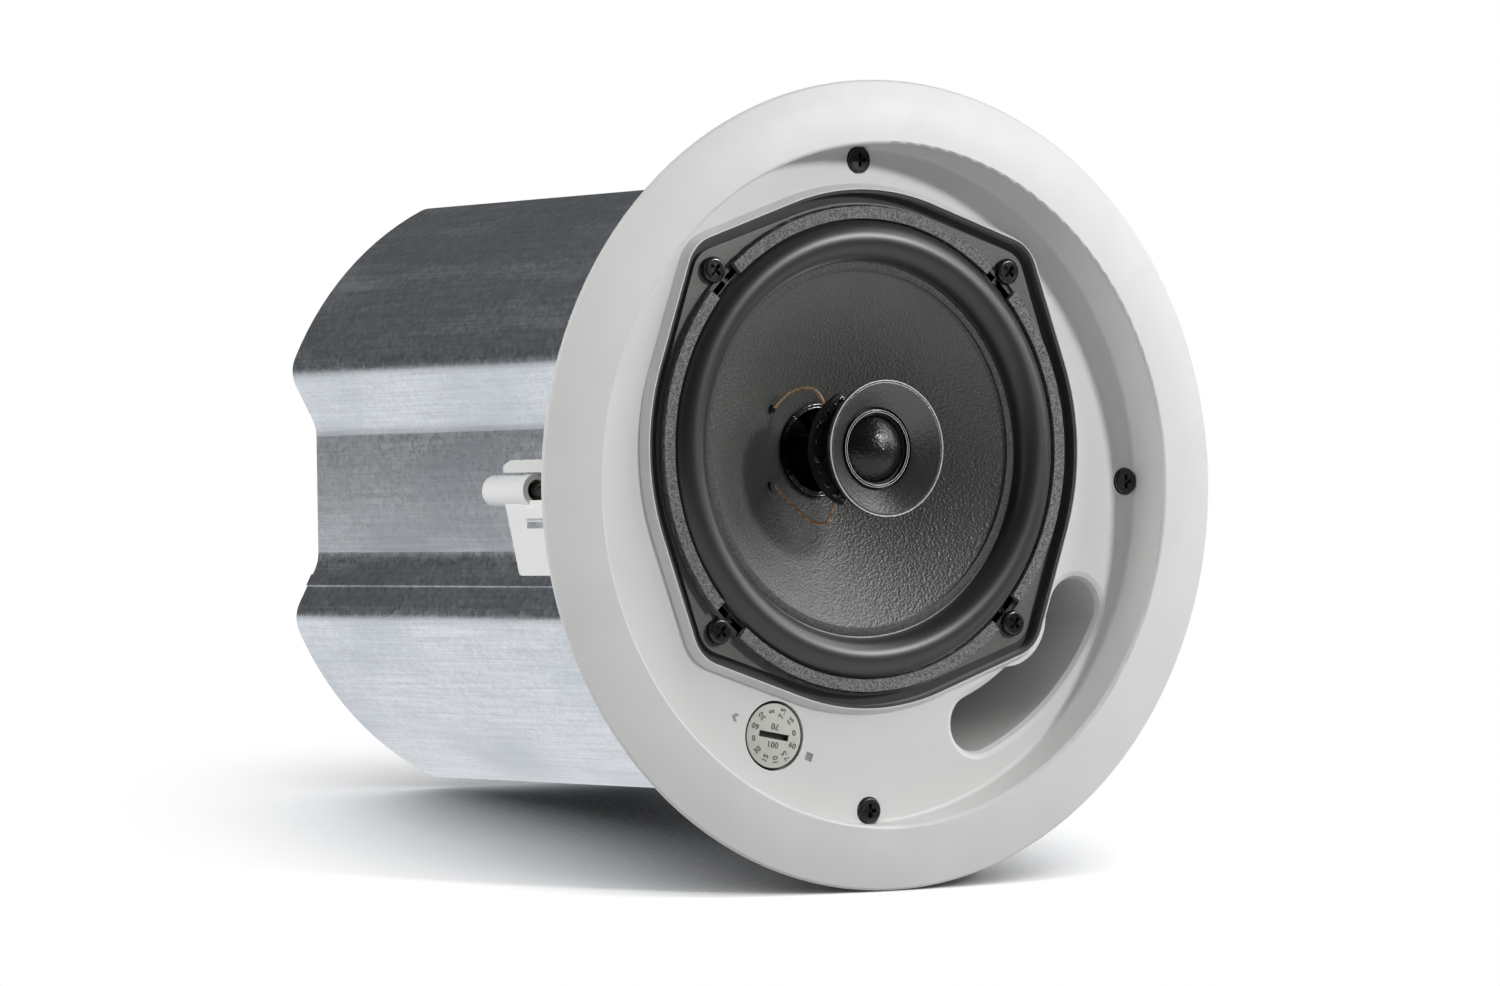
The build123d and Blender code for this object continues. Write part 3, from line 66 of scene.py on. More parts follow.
MM = 0.001
DRIVER_RISE = 11.25
Pair = tuple[float, float]
Point = tuple[float, float, float]
Colour = tuple[float, float, float, float]
Piece = bpy.types.Object
Socket = bpy.types.NodeSocket
Values = dict | Sequence
WHITE: Colour = (1.0, 1.0, 1.0, 1.0)
ORIGIN: Point = (0.0, 0.0, 0.0)
# A wave texture of scale one has a band in each sixth of a unit.
WAVE_BANDS = 6
# Nearly all of a noise texture lies between these.
NOISE_REACH: Pair = (0.3, 0.7)


class Body(Enum):
    """The rigid bodies that the pieces here ride on."""

    HOUSING = "housing"
    CONE = "cone"
    DIAL = "tap_selector"
    SCREW_RIGHT = "screw_right"
    SCREW_TOP = "screw_top"
    SCREW_LEFT = "screw_left"
    SCREW_BOTTOM = "screw_bottom"


class Side(Enum):
    """The four clamps, with the angle of each seen from the front."""

    RIGHT = 0
    TOP = 90
    LEFT = 180
    BOTTOM = 270


class Axis(Enum):
    """The ways that the bands of a pattern can be laid."""

    X = "X"
    Y = "Y"
    Z = "Z"
    DIAGONAL = "DIAGONAL"


def linear(colour: str, share: float = 1.0) -> Colour:
    """Turn an sRGB hex colour into linear light.

    Args:
        colour: Six hex digits.
        share: How much of its light is kept, more than one to brighten it.

    Returns:
        Red, green, blue and an alpha of one.
    """
    parts = [int(colour[start : start + 2], 16) / 255 for start in (0, 2, 4)]
    light = [part / 12.92 if part <= 0.04045 else ((part + 0.055) / 1.055) ** 2.4 for part in parts]
    red, green, blue = [min(1.0, part * share) for part in light]
    return (red, green, blue, 1.0)


def around(angle: float, radius: float) -> Pair:
    """X and Z of the point at an angle in degrees, seen from the front, on a circle."""
    turn = math.radians(angle)
    return (radius * math.cos(turn), radius * math.sin(turn))


def configure(thing: object, **settings: object) -> None:
    """Set several attributes of one thing."""
    for name, setting in settings.items():
        setattr(thing, name, setting)


def stand(data: bpy.types.ID, place: Point = ORIGIN, turn: Sequence[float] = ORIGIN) -> Piece:
    """Put a camera, lamp or curve into the scene under its own name, turned in radians.

    Args:
        data: The camera, lamp or curve.
        place: Where it stands, in metres.
        turn: How it is turned, in radians.

    Returns:
        The object that holds it.
    """
    piece = bpy.data.objects.new(data.name, data)
    configure(piece, location=place, rotation_euler=turn)
    bpy.context.collection.objects.link(piece)
    return piece


class Wiring:
    """A node tree that shader nodes are added to."""

    def __init__(self, tree: bpy.types.NodeTree) -> None:
        """Take the tree."""
        self.tree = tree

    def add(self, kind: str, values: Values = (), **settings: object) -> bpy.types.Node:
        """Add one shader node with its settings and its inputs.

        Args:
            kind: The node's type, without the words that every shader node's type starts with.
            values: Plain values, or sockets that feed the inputs: by the inputs' names or
                numbers, or a row of them in the inputs' own order.
            settings: Attributes of the node itself.

        Returns:
            The new node.
        """
        node = self.tree.nodes.new(f"ShaderNode{kind}")
        configure(node, **settings)
        named = values if isinstance(values, dict) else dict(enumerate(values))
        for name, value in named.items():
            self.feed(node, name, value)
        return node

    def out(self, kind: str, values: Values = (), **settings: object) -> Socket:
        """Add one shader node and give back its first output."""
        return self.add(kind, values, **settings).outputs[0]

    def feed(self, node: bpy.types.Node, name: str | int, value: object) -> None:
        """Set one input of a node, or link it to the socket that feeds it.

        Args:
            node: The node.
            name: The input's name or number.
            value: A plain value, or a socket.
        """
        if isinstance(value, Socket):
            self.tree.links.new(value, node.inputs[name])
        else:
            node.inputs[name].default_value = value


class Surface(Wiring):
    """A material's tree, with the patterns that the finishes share. Sizes are in millimetres."""

    def __init__(self, name: str) -> None:
        """Start a material.

        Args:
            name: The material's name.
        """
        self.material = bpy.data.materials.new(name)
        self.material.use_nodes = True
        super().__init__(self.material.node_tree)
        self.shader = self.tree.nodes["Principled BSDF"]
        self.place = self.add("TexCoord").outputs["Object"]

    def give(self, name: str, value: object) -> None:
        """Set one input of the shader, or link it."""
        self.feed(self.shader, name, value)

    def pattern(self, kind: str, size_mm: float, values: Values = (), **settings: str) -> Socket:
        """Lay a texture over the surface, with features about one size across.

        Args:
            kind: The texture's type.
            size_mm: The size of one feature.
            values: Further inputs by name, which can hold another place to read it at.
            settings: Attributes of the texture's node.

        Returns:
            The texture's first output.
        """
        scaled = {"Vector": self.place, "Scale": 1 / (size_mm * MM), **dict(values)}
        return self.out(f"Tex{kind}", scaled, **settings)

    def paint(self, share: Socket, first: object, second: object) -> Socket:
        """Colour the surface between two colours, each a socket or a linear colour.

        Args:
            share: How much of the second shows.
            first: One colour.
            second: The other colour.

        Returns:
            The mixed colour.
        """
        colours = {0: share, 6: first, 7: second}
        mixed = self.add("Mix", colours, data_type="RGBA").outputs[2]
        self.give("Base Color", mixed)
        return mixed

    def tint(self, colour: str, share: Socket, low: float, high: float) -> Socket:
        """Vary the base colour's brightness with a pattern."""
        return self.paint(share, linear(colour, low), linear(colour, high))

    def relief(self, *layers: tuple[Socket, float]) -> None:
        """Raise the surface by patterns, each with its depth, one over another.

        Args:
            layers: Each pattern with its depth in millimetres, which is below zero for a hollow.
        """
        under: dict[str, Socket] = {}
        for height, depth_mm in layers:
            values = {"Height": height, "Distance": depth_mm * MM, "Strength": 1.0}
            under = {"Normal": self.out("Bump", values | under)}
        self.give("Normal", under["Normal"])


@dataclass(frozen=True)
class Finish(ABC):
    """What every finish has, with the name of a record's slot."""

    name: str
    colour: str
    roughness: float = 0.5
    metallic: float = 0.0
    ior: float = 1.5
    sheen: float = 0.0
    sheen_roughness: float = 0.5
    shades: Pair = (1.0, 1.0)
    slot: str = ""

    def build(self) -> bpy.types.Material:
        """Make the material, or give back the one already made.

        Returns:
            The material.
        """
        made = bpy.data.materials.get(self.name)
        if made is not None:
            return made
        surface = Surface(self.name)
        surface.give("Base Color", linear(self.colour))
        surface.give("Roughness", self.roughness)
        surface.give("Metallic", self.metallic)
        surface.give("Sheen Weight", self.sheen)
        surface.give("Sheen Roughness", self.sheen_roughness)
        if self.metallic == 0:
            surface.give("IOR", self.ior)
        self.wire(surface)
        return surface.material

    @abstractmethod
    def wire(self, surface: Surface) -> None:
        """Wire the surface's pattern; each finish has its own.

        Args:
            surface: The material that is being made.
        """


@dataclass(frozen=True)
class MouldedPlastic(Finish):
    """ABS from a polished mould: a soft satin sheen, faint hairlines and a few specks of dust.

    The mould's own grain is finer than the picture shows, so it is drawn coarser.
    """

    mottle_mm: float = 26.0
    mottle_dark: float = 0.955
    speck_mm: float = 9.0
    speck_width: float = 0.018
    speck_dark: float = 0.5
    hairline_mm: float = 0.5
    hairline_stretch: Point = (0.05, 1.0, 1.4)
    hairline_turn: Point = (0.0, 0.5, 0.0)
    hairline_edge: Pair = (0.7, 0.74)
    hairline_depth: float = 0.0014
    gloss_mm: float = 6.0
    grain_mm: float = 0.35
    grain_depth: float = 0.006

    def wire(self, surface: Surface) -> None:
        """Wire the mottle, the specks, the hairlines and the fine grain.

        Args:
            surface: The material that is being made.
        """
        mottle = surface.pattern("Noise", self.mottle_mm)
        share = surface.out("MapRange", (mottle, *NOISE_REACH))
        ground = surface.tint(self.colour, share, self.mottle_dark, 1.0)
        cell = surface.pattern("Voronoi", self.speck_mm)
        speck = surface.out("MapRange", (cell, self.speck_width * 0.5, self.speck_width, 1, 0))
        surface.paint(speck, ground, linear(self.colour, self.speck_dark))
        gloss = surface.pattern("Noise", self.gloss_mm, {"Detail": 3})
        shiny, dull = self.roughness - 0.05, self.roughness + 0.07
        surface.give("Roughness", surface.out("MapRange", (gloss, 0, 1, shiny, dull)))
        turned_place = {
            "Vector": surface.place,
            "Scale": self.hairline_stretch,
            "Rotation": self.hairline_turn,
        }
        lines = {"Vector": surface.out("Mapping", turned_place), "Detail": 1.0}
        hairlines = surface.pattern("Noise", self.hairline_mm, lines)
        scratches = surface.out("MapRange", (hairlines, *self.hairline_edge))
        grain = surface.pattern("Noise", self.grain_mm)
        surface.relief((grain, self.grain_depth), (scratches, -self.hairline_depth))


@dataclass(frozen=True)
class SlottedPlastic(MouldedPlastic):
    """Plastic that goes dark below a depth along Y: dirt, and painted shade in the slot and the gap round
    it.
    """

    dirt_and_shade_from: float = 12.3
    dirt_and_shade_to: float = 12.5
    # Colour of the dirt and of the painted shade in the slot and on the dial's side.
    dirt: str = "33342c"

    def wire(self, surface: Surface) -> None:
        """Wire the plastic, and then the dirt and painted shade over it.

        Args:
            surface: The material that is being made.
        """
        super().wire(surface)
        plain_plastic = surface.shader.inputs["Base Color"].links[0].from_socket
        # Painted shade: everything deeper than a set depth, the slot and the dial's side, goes dark as if in
        # shadow.
        depth = surface.add("SeparateXYZ", {0: surface.place}).outputs[1]
        share = surface.out("MapRange", (depth, self.dirt_and_shade_from * MM, self.dirt_and_shade_to * MM))
        surface.paint(share, plain_plastic, linear(self.dirt))


@dataclass(frozen=True)
class GalvanisedSheet(Finish):
    """Zinc dipped steel sheet: fine crystals, a rolled grain along Y, clouds and dry scuffs."""

    grain_share: Pair = (-0.6, 0.6)
    speckle_mm: float = 0.55
    speckle_reach: Pair = (0.25, 0.75)
    speckle_depth: float = 0.022
    rolled_mm: float = 0.9
    rolled_depth: float = 0.009
    rolled_stretch: Point = (1.0, 0.02, 1.0)
    crystal_mm: float = 1.7
    scuff_mm: float = 14.0
    scuff_metallic: float = 0.86
    scuff_edge: Pair = (0.52, 0.76)
    scuff_stretch: Point = (1.0, 0.16, 1.0)
    cloud_mm: float = 32.0
    cloud_stretch: Point = (1.0, 0.5, 1.0)
    cloud_edge: Pair = (0.45, 0.7)
    cloud_share: float = 0.6
    shades: Pair = (0.8, 1.08)
    cloud: str = "b9bfc6"

    def wire(self, surface: Surface) -> None:
        """Wire the crystals, the rolled grain, the clouds and the scuffs.

        Args:
            surface: The material that is being made.
        """
        speckle = surface.pattern("Noise", self.speckle_mm)
        rolled = self.drawn(surface, self.rolled_mm, self.rolled_stretch, 5)
        scuff = self.drawn(surface, self.scuff_mm, self.scuff_stretch, 6)
        cloud = self.drawn(surface, self.cloud_mm, self.cloud_stretch, 3)
        crystal = surface.pattern("Voronoi", self.crystal_mm).node.outputs["Color"]
        tone = surface.out("RGBToBW", (crystal,))
        specks = surface.out("MapRange", (speckle, *self.speckle_reach, *self.grain_share))
        grain = surface.out("MapRange", (rolled, *NOISE_REACH, *self.grain_share))
        mixed = surface.out("Math", (specks, tone), operation="ADD")
        mixed = surface.out("Math", (mixed, grain), operation="ADD")
        share = surface.out("MapRange", (mixed, -0.3, 1.3))
        colour = surface.tint(self.colour, share, *self.shades)
        clouded = surface.out("MapRange", (cloud, *self.cloud_edge, 0, self.cloud_share))
        surface.paint(clouded, colour, linear(self.cloud))
        shiny, dull = self.roughness - 0.05, self.roughness + 0.08
        broad = surface.out("MapRange", (cloud, 0, 1, shiny, dull))
        fine = surface.out("MapRange", (tone, 0, 1, -0.05, 0.06))
        surface.give("Roughness", surface.out("Math", (fine, broad), operation="ADD"))
        uneven = surface.out("MapRange", (mixed, -0.3, 1.3, -0.05, 0.05))
        grit = surface.out("Math", (scuff, uneven), operation="ADD")
        dry = surface.out("MapRange", (grit, *self.scuff_edge, 1.0, self.scuff_metallic))
        surface.give("Metallic", dry)
        surface.relief((speckle, self.speckle_depth), (rolled, self.rolled_depth))

    def drawn(self, surface: Surface, size_mm: float, stretch: Point, detail: float) -> Socket:
        """Noise drawn out along the way the sheet was rolled."""
        place = surface.out("Mapping", {"Vector": surface.place, "Scale": stretch})
        return surface.pattern("Noise", size_mm, {"Vector": place, "Detail": detail})


@dataclass(frozen=True)
class SatinRubber(Finish):
    """Pressed butyl rubber: deep black with a soft sheen, a faint bloom and fine dust."""

    sheen: float = 0.35
    sheen_roughness: float = 0.4
    shades: Pair = (0.7, 1.5)
    bloom_mm: float = 14.0
    dust_mm: float = 2.6
    dust_edge: Pair = (0.02, 0.09)
    dust_rough: float = 0.2
    grain_mm: float = 0.4
    grain_depth: float = 0.012

    def wire(self, surface: Surface) -> None:
        """Wire the bloom, the dust and the fine grain.

        Args:
            surface: The material that is being made.
        """
        bloom = surface.pattern("Noise", self.bloom_mm, {"Detail": 3})
        surface.tint(self.colour, bloom, *self.shades)
        dust = surface.pattern("Voronoi", self.dust_mm)
        dusty = self.roughness + self.dust_rough
        rough = surface.out("MapRange", (dust, *self.dust_edge, dusty, self.roughness))
        surface.give("Roughness", rough)
        surface.relief((surface.pattern("Noise", self.grain_mm), self.grain_depth))


@dataclass(frozen=True)
class GranularCoat(Finish):
    """Rubber bonded cork or a dried coat of glue: grains of uneven tone and height."""

    grain_mm: float = 0.7
    grain_depth: float = 0.12
    fine_depth: float = 0.08
    dark: str = "4a4a4b"
    light: str = "a4a5a7"

    def wire(self, surface: Surface) -> None:
        """Wire the grains' tone and height.

        Args:
            surface: The material that is being made.
        """
        grains = surface.pattern("Voronoi", self.grain_mm)
        tone = surface.out("RGBToBW", (grains.node.outputs["Color"],))
        fine = surface.pattern("Noise", self.grain_mm * 0.6, {"Detail": 3})
        uneven = surface.out("MapRange", (fine, *NOISE_REACH, 0.3, 1.7))
        mixed = surface.out("Math", (tone, uneven), operation="MULTIPLY")
        share = surface.out("MapRange", (mixed, 0.1, 0.9))
        surface.paint(share, linear(self.dark), linear(self.light))
        surface.relief((grains, -self.grain_depth), (fine, self.fine_depth))


@dataclass(frozen=True)
class PressedPaper(Finish):
    """Felted paper pulp with a coat: close leathery wrinkles and a very soft sheen."""

    sheen: float = 0.4
    sheen_roughness: float = 0.45
    shades: Pair = (0.74, 1.3)
    wrinkle_mm: float = 0.75
    wrinkle_depth: float = 0.22
    fine_mm: float = 0.3
    fine_depth: float = 0.08
    cloud_mm: float = 18.0

    def wire(self, surface: Surface) -> None:
        """Wire the wrinkles and the uneven coat.

        Args:
            surface: The material that is being made.
        """
        wrinkle = surface.pattern("Voronoi", self.wrinkle_mm, feature="SMOOTH_F1")
        fine = surface.pattern("Noise", self.fine_mm, {"Detail": 3})
        cloud = surface.pattern("Noise", self.cloud_mm, {"Detail": 3})
        uneven = surface.out("MapRange", (fine, *NOISE_REACH, -0.45, 0.45))
        mixed = surface.out("Math", (uneven, cloud), operation="ADD")
        surface.tint(self.colour, surface.out("MapRange", (mixed, 0.1, 0.9)), *self.shades)
        surface.relief((wrinkle, self.wrinkle_depth), (fine, self.fine_depth))


@dataclass(frozen=True)
class SpeckledLacquer(Finish):
    """Lacquer or gloss moulding with fine dust nibs in patches, as on a small driver's flare."""

    nib_mm: float = 1.1
    nib: str = "55565a"
    nib_edge: Pair = (0.05, 0.16)
    nib_rough: float = 0.35
    patch_mm: float = 5.0
    patch_edge: Pair = (0.45, 0.7)
    grain_mm: float = 0.9
    grain_depth: float = 0.015

    def wire(self, surface: Surface) -> None:
        """Wire the nibs over the lacquer.

        Args:
            surface: The material that is being made.
        """
        cell = surface.pattern("Voronoi", self.nib_mm)
        spots = surface.out("MapRange", (cell, *self.nib_edge, 1, 0))
        patch = surface.pattern("Noise", self.patch_mm, {"Detail": 3})
        patches = surface.out("MapRange", (patch, *self.patch_edge))
        nibs = surface.out("Math", (spots, patches), operation="MULTIPLY")
        surface.paint(nibs, linear(self.colour), linear(self.nib))
        dusty = min(1.0, self.roughness + self.nib_rough)
        surface.give("Roughness", surface.out("MapRange", (nibs, 0, 1, self.roughness, dusty)))
        surface.relief((surface.pattern("Noise", self.grain_mm), self.grain_depth))


@dataclass(frozen=True)
class PlatedSteel(Finish):
    """Zinc plated or blackened steel, or brass: turned marks, small dull patches and fine pits."""

    shades: Pair = (0.78, 1.18)
    mark_mm: float = 0.6
    mark_depth: float = 0.012
    mark_stretch: Point = (1.0, 0.2, 1.0)
    patch_mm: float = 4.0
    patch_rough: float = 0.12

    def wire(self, surface: Surface) -> None:
        """Wire the marks, the patches and the pits.

        Args:
            surface: The material that is being made.
        """
        place = surface.out("Mapping", {"Vector": surface.place, "Scale": self.mark_stretch})
        marks = surface.pattern("Noise", self.mark_mm, {"Vector": place, "Detail": 3})
        surface.tint(self.colour, marks, *self.shades)
        polished = self.roughness - self.patch_rough / 2
        dull = self.roughness + self.patch_rough
        patch = surface.pattern("Noise", self.patch_mm, {"Detail": 3})
        rough = surface.out("MapRange", (patch, *NOISE_REACH, polished, dull))
        surface.give("Roughness", rough)
        surface.relief((marks, self.mark_depth))


@dataclass(frozen=True)
class PaintedSheet(Finish):
    """Powder coat, ferrite or cement: a fine orange peel with darker nibs."""

    shades: Pair = (0.8, 1.15)
    peel_mm: float = 0.8
    peel_depth: float = 0.02
    nib_mm: float = 0.45

    def wire(self, surface: Surface) -> None:
        """Wire the peel and the nibs.

        Args:
            surface: The material that is being made.
        """
        nibs = surface.pattern("Noise", self.nib_mm)
        share = surface.out("MapRange", (nibs, *NOISE_REACH))
        surface.tint(self.colour, share, *self.shades)
        surface.relief((surface.pattern("Noise", self.peel_mm), self.peel_depth))


@dataclass(frozen=True)
class WovenCloth(Finish):
    """Doped cotton or teased fibre: crossing threads with a dry, soft edge.

    The threads are drawn coarser than real ones, which would be finer than the picture shows.
    """

    sheen: float = 0.3
    shades: Pair = (0.7, 1.1)
    thread_mm: float = 0.6
    thread_depth: float = 0.15
    wander: float = 0.6

    def wire(self, surface: Surface) -> None:
        """Wire the two ways of the weave.

        Args:
            surface: The material that is being made.
        """
        size = self.thread_mm * WAVE_BANDS
        wander = {"Distortion": self.wander}
        threads = [
            surface.pattern("Wave", size, wander, bands_direction=axis.value)
            for axis in (Axis.X, Axis.Z)
        ]
        weave = surface.out("Math", threads, operation="MULTIPLY")
        surface.tint(self.colour, weave, *self.shades)
        surface.relief((weave, self.thread_depth))


@dataclass(frozen=True)
class TwistedWire(Finish):
    """Tinned and enamelled copper strands, brown between the bright ones."""

    strand_mm: float = 0.25
    strand_depth: float = 0.05
    wander: float = 1.0
    dark: str = "8a6a50"

    def wire(self, surface: Surface) -> None:
        """Wire the strands' stripes.

        Args:
            surface: The material that is being made.
        """
        size = self.strand_mm * WAVE_BANDS
        wander = {"Distortion": self.wander}
        strands = surface.pattern("Wave", size, wander, bands_direction=Axis.DIAGONAL.value)
        surface.paint(strands, linear(self.dark), linear(self.colour))
        surface.relief((strands, self.strand_depth))


@dataclass(frozen=True)
class LayeredFinish(Finish):
    """Wound wire or tape, laminations, board or sleeve: fine parallel layers along one axis."""

    shades: Pair = (0.7, 1.1)
    layer_mm: float = 0.5
    axis: Axis = Axis.Y
    depth_mm: float = 0.04
    dirt_mm: float = 5.0
    wander: float = 0.2

    def wire(self, surface: Surface) -> None:
        """Wire the layers and a little dirt.

        Args:
            surface: The material that is being made.
        """
        size = self.layer_mm * WAVE_BANDS
        wander = {"Distortion": self.wander}
        layers = surface.pattern("Wave", size, wander, bands_direction=self.axis.value)
        dirt = surface.pattern("Noise", self.dirt_mm, {"Detail": 3})
        uneven = surface.out("MapRange", (dirt, 0, 1, 0.6, 1.4))
        dirty = surface.out("Math", (layers, uneven), operation="MULTIPLY")
        surface.tint(self.colour, dirty, *self.shades)
        surface.relief((layers, self.depth_mm))


WHITE_ABS = MouldedPlastic("white_abs_satin", "e6e7e5", 0.42)
CLAMP_NYLON = MouldedPlastic("white_nylon_clamp", "f4f5f4", 0.45, speck_mm=14.0)
BLACK_NYLON = MouldedPlastic("black_nylon", "17171a", 0.5, speck_mm=4.0)
# The dial's pale plastic, with dirt and painted shade below a depth in its slot and round its side.
DIAL_ABS = SlottedPlastic("pale_grey_abs_slotted", "cfcfc6", 0.5, speck_mm=5.0, slot="grey_plastic")
DIAL_INK = MouldedPlastic("moulded_figures", "5d5d52", 0.55, speck_mm=3.0, slot="grey_plastic")
# Mid grey that paints the shade seen in the hollows of the two marks beside the dial.
MARK_SHADE = MouldedPlastic("shaded_abs_mark", "9c9c9a", 0.6, speck_mm=5.0, slot="white_plastic")
ZINC_SHEET = GalvanisedSheet("galvanised_sheet", "dde1e6", 0.26, 1.0)
BUTYL = SatinRubber("butyl_rubber", "10110f", 0.38, ior=1.65, slot="black_rubber")
FOAM = SatinRubber("dark_cell_foam", "3a3b38", 0.7, grain_mm=0.6)
CORK_GASKET = GranularCoat(
    "rubber_bonded_cork", "5c5d5e", 0.7, grain_mm=0.45, dark="404140", light="929392"
)
GLUE_COAT = GranularCoat(
    "dried_glue_coat",
    "444546",
    0.6,
    grain_mm=0.4,
    dark="2f2f30",
    light="5a5b5d",
    slot="grey_gasket",
)
PULP_CONE = PressedPaper("coated_paper_pulp", "3b3c38", 0.43, ior=1.75)
BLACK_FLARE = SpeckledLacquer(
    "black_lacquered_flare", "171816", 0.38, ior=1.95, grain_mm=1.0, grain_depth=0.2
)
SILK_DOME = SpeckledLacquer(
    "coated_silk_dome", "0a0a0a", 0.27, nib_mm=0.8, grain_mm=1.0, grain_depth=0.2
)
# Light grey paint on thin lips: painted highlights along the bright edges of the tweeter.
EDGE_HIGHLIGHT = SpeckledLacquer("worn_bright_edge", "d0d1d0", 0.3, nib_mm=2.0, slot="bright_ring")
WET_GLUE = SpeckledLacquer(
    "glossy_black_adhesive",
    "08080a",
    0.12,
    ior=1.6,
    nib_mm=3.0,
    grain_mm=1.6,
    grain_depth=0.2,
    slot="gloss_black",
)
BLACK_GLOSS = SpeckledLacquer("black_gloss_moulding", "0b0b0d", 0.22, nib_mm=1.6)
BLACK_STEEL = PlatedSteel("blackened_steel", "3f3f3e", 0.22, 0.85, slot="black_screws")
ZINC_PLATE = PlatedSteel("zinc_plate", "b9bcc0", 0.32, 1.0)
BRASS = PlatedSteel("turned_brass", "b8964c", 0.3, 1.0)
GREY_COAT = PaintedSheet("grey_powder_coat", "666763", 0.42)
FERRITE = PaintedSheet("sintered_ferrite", "303033", 0.7, peel_mm=1.5)
CEMENT = PaintedSheet("resistor_cement", "d6d2c4", 0.85)
DOPED_COTTON = WovenCloth("doped_cotton", "8a6a38", 0.8, slot="brown_cloth")
FIBRE_WAD = WovenCloth(
    "teased_polyester", "e4e2da", 0.95, thread_mm=1.6, sheen=0.6, slot="white_wadding"
)
COPPER_LEAD = TwistedWire("twisted_copper_lead", "dcb996", 0.42, 0.2, slot="copper_wire")
COPPER_COIL = LayeredFinish("wound_copper", "b06a3c", 0.35, 0.8, layer_mm=0.4)
COIL_TAPE = LayeredFinish("coil_tape", "c2a13c", 0.4, layer_mm=3.0)
LAMINATIONS = LayeredFinish("varnished_laminations", "4d4d50", 0.45, 0.6, layer_mm=0.5)
BOARD = LayeredFinish(
    "green_lacquer_board", "2f6a40", 0.35, layer_mm=4.0, axis=Axis.X, depth_mm=0.01
)
SLEEVE = LayeredFinish(
    "capacitor_sleeve", "23324e", 0.3, layer_mm=6.0, axis=Axis.Z, depth_mm=0.01
)


def each_clamp(part: str) -> str:
    """The nodes of one part of the clamps, one for each side."""
    return " ".join(f"clamp_{part}_{side.name.lower()}" for side in Side)


DRESSED_NODES: dict[Finish, str] = {
    WHITE_ABS: "rim baffle port_duct",
    CLAMP_NYLON: f"board_standoffs {each_clamp('ear')}",
    BLACK_NYLON: (
        "input_terminal driver_terminals selector_switch tweeter_terminal_strip tweeter_post"
    ),
    ZINC_SHEET: "can_body end_cap safety_tab terminal_cover cable_clamp transformer_bracket",
    ZINC_PLATE: "can_screws terminal_cover_screws cable_clamp_screws transformer_screws",
    FOAM: "driver_seal can_gasket",
    CORK_GASKET: "driver_gasket",
    PULP_CONE: "cone",
    BLACK_FLARE: "tweeter_flare",
    SILK_DOME: "tweeter_dome",
    BLACK_GLOSS: "lead_eyelets voice_coil_former tweeter_housing tweeter_ring",
    BLACK_STEEL: f"top_plate pole_piece driver_screws {each_clamp('screw')}",
    BRASS: each_clamp("nut"),
    GREY_COAT: "driver_frame",
    FERRITE: "magnet tweeter_magnet",
    CEMENT: "crossover_resistors",
    COPPER_COIL: "crossover_inductor voice_coil_winding",
    COIL_TAPE: "transformer_coil",
    LAMINATIONS: "transformer_core",
    BOARD: "crossover_board",
    SLEEVE: "crossover_capacitors",
}


def pick(*pieces: Piece) -> None:
    """Leave edit mode and select these objects alone, the first of them active.

    Args:
        pieces: The objects, or none to leave nothing selected.
    """
    if bpy.context.object is not None and bpy.context.object.mode != "OBJECT":
        bpy.ops.object.mode_set(mode="OBJECT")
    bpy.ops.object.select_all(action="DESELECT")
    for piece in pieces:
        piece.select_set(True)
    if pieces:
        bpy.context.view_layer.objects.active = pieces[0]


def name_new(name: str) -> Piece:
    """Name the object just added and its mesh.

    Args:
        name: The name of both.

    Returns:
        The object.
    """
    piece = bpy.context.active_object
    piece.name = name
    piece.data.name = name
    return piece


def edit() -> None:
    """Edit the picked object, with all of it selected."""
    bpy.ops.object.mode_set(mode="EDIT")
    bpy.ops.mesh.select_all(action="SELECT")


def close() -> None:
    """Merge the points that coincide, turn every face outward and leave edit mode."""
    bpy.ops.mesh.select_all(action="SELECT")
    bpy.ops.mesh.remove_doubles(threshold=1e-6)
    bpy.ops.mesh.normals_make_consistent(inside=False)
    bpy.ops.object.mode_set(mode="OBJECT")


def settle(piece: Piece) -> None:
    """Put the object's place, turn and size into its mesh."""
    pick(piece)
    bpy.ops.object.transform_apply(location=True, rotation=True, scale=True)


def smooth(piece: Piece, angle: float = 35.0) -> None:
    """Shade smooth across edges that turn less than an angle in degrees."""
    pick(piece)
    bpy.ops.object.shade_smooth_by_angle(angle=math.radians(angle))


def modify(piece: Piece, kind: str, **settings: object) -> None:
    """Add a modifier with its settings, and apply it.

    Args:
        piece: The object.
        kind: The modifier's type.
        settings: Attributes of the modifier.
    """
    pick(piece)
    modifier = piece.modifiers.new(kind.lower(), kind)
    configure(modifier, **settings)
    bpy.ops.object.modifier_apply(modifier=modifier.name)


def clouds(name: str, size_mm: float) -> bpy.types.Texture:
    """A procedural texture of soft lumps for a displacement.

    Args:
        name: The texture's name.
        size_mm: The size of one lump, in millimetres.

    Returns:
        The texture.
    """
    texture = bpy.data.textures.new(name, "CLOUDS")
    texture.noise_scale = size_mm * MM
    return texture


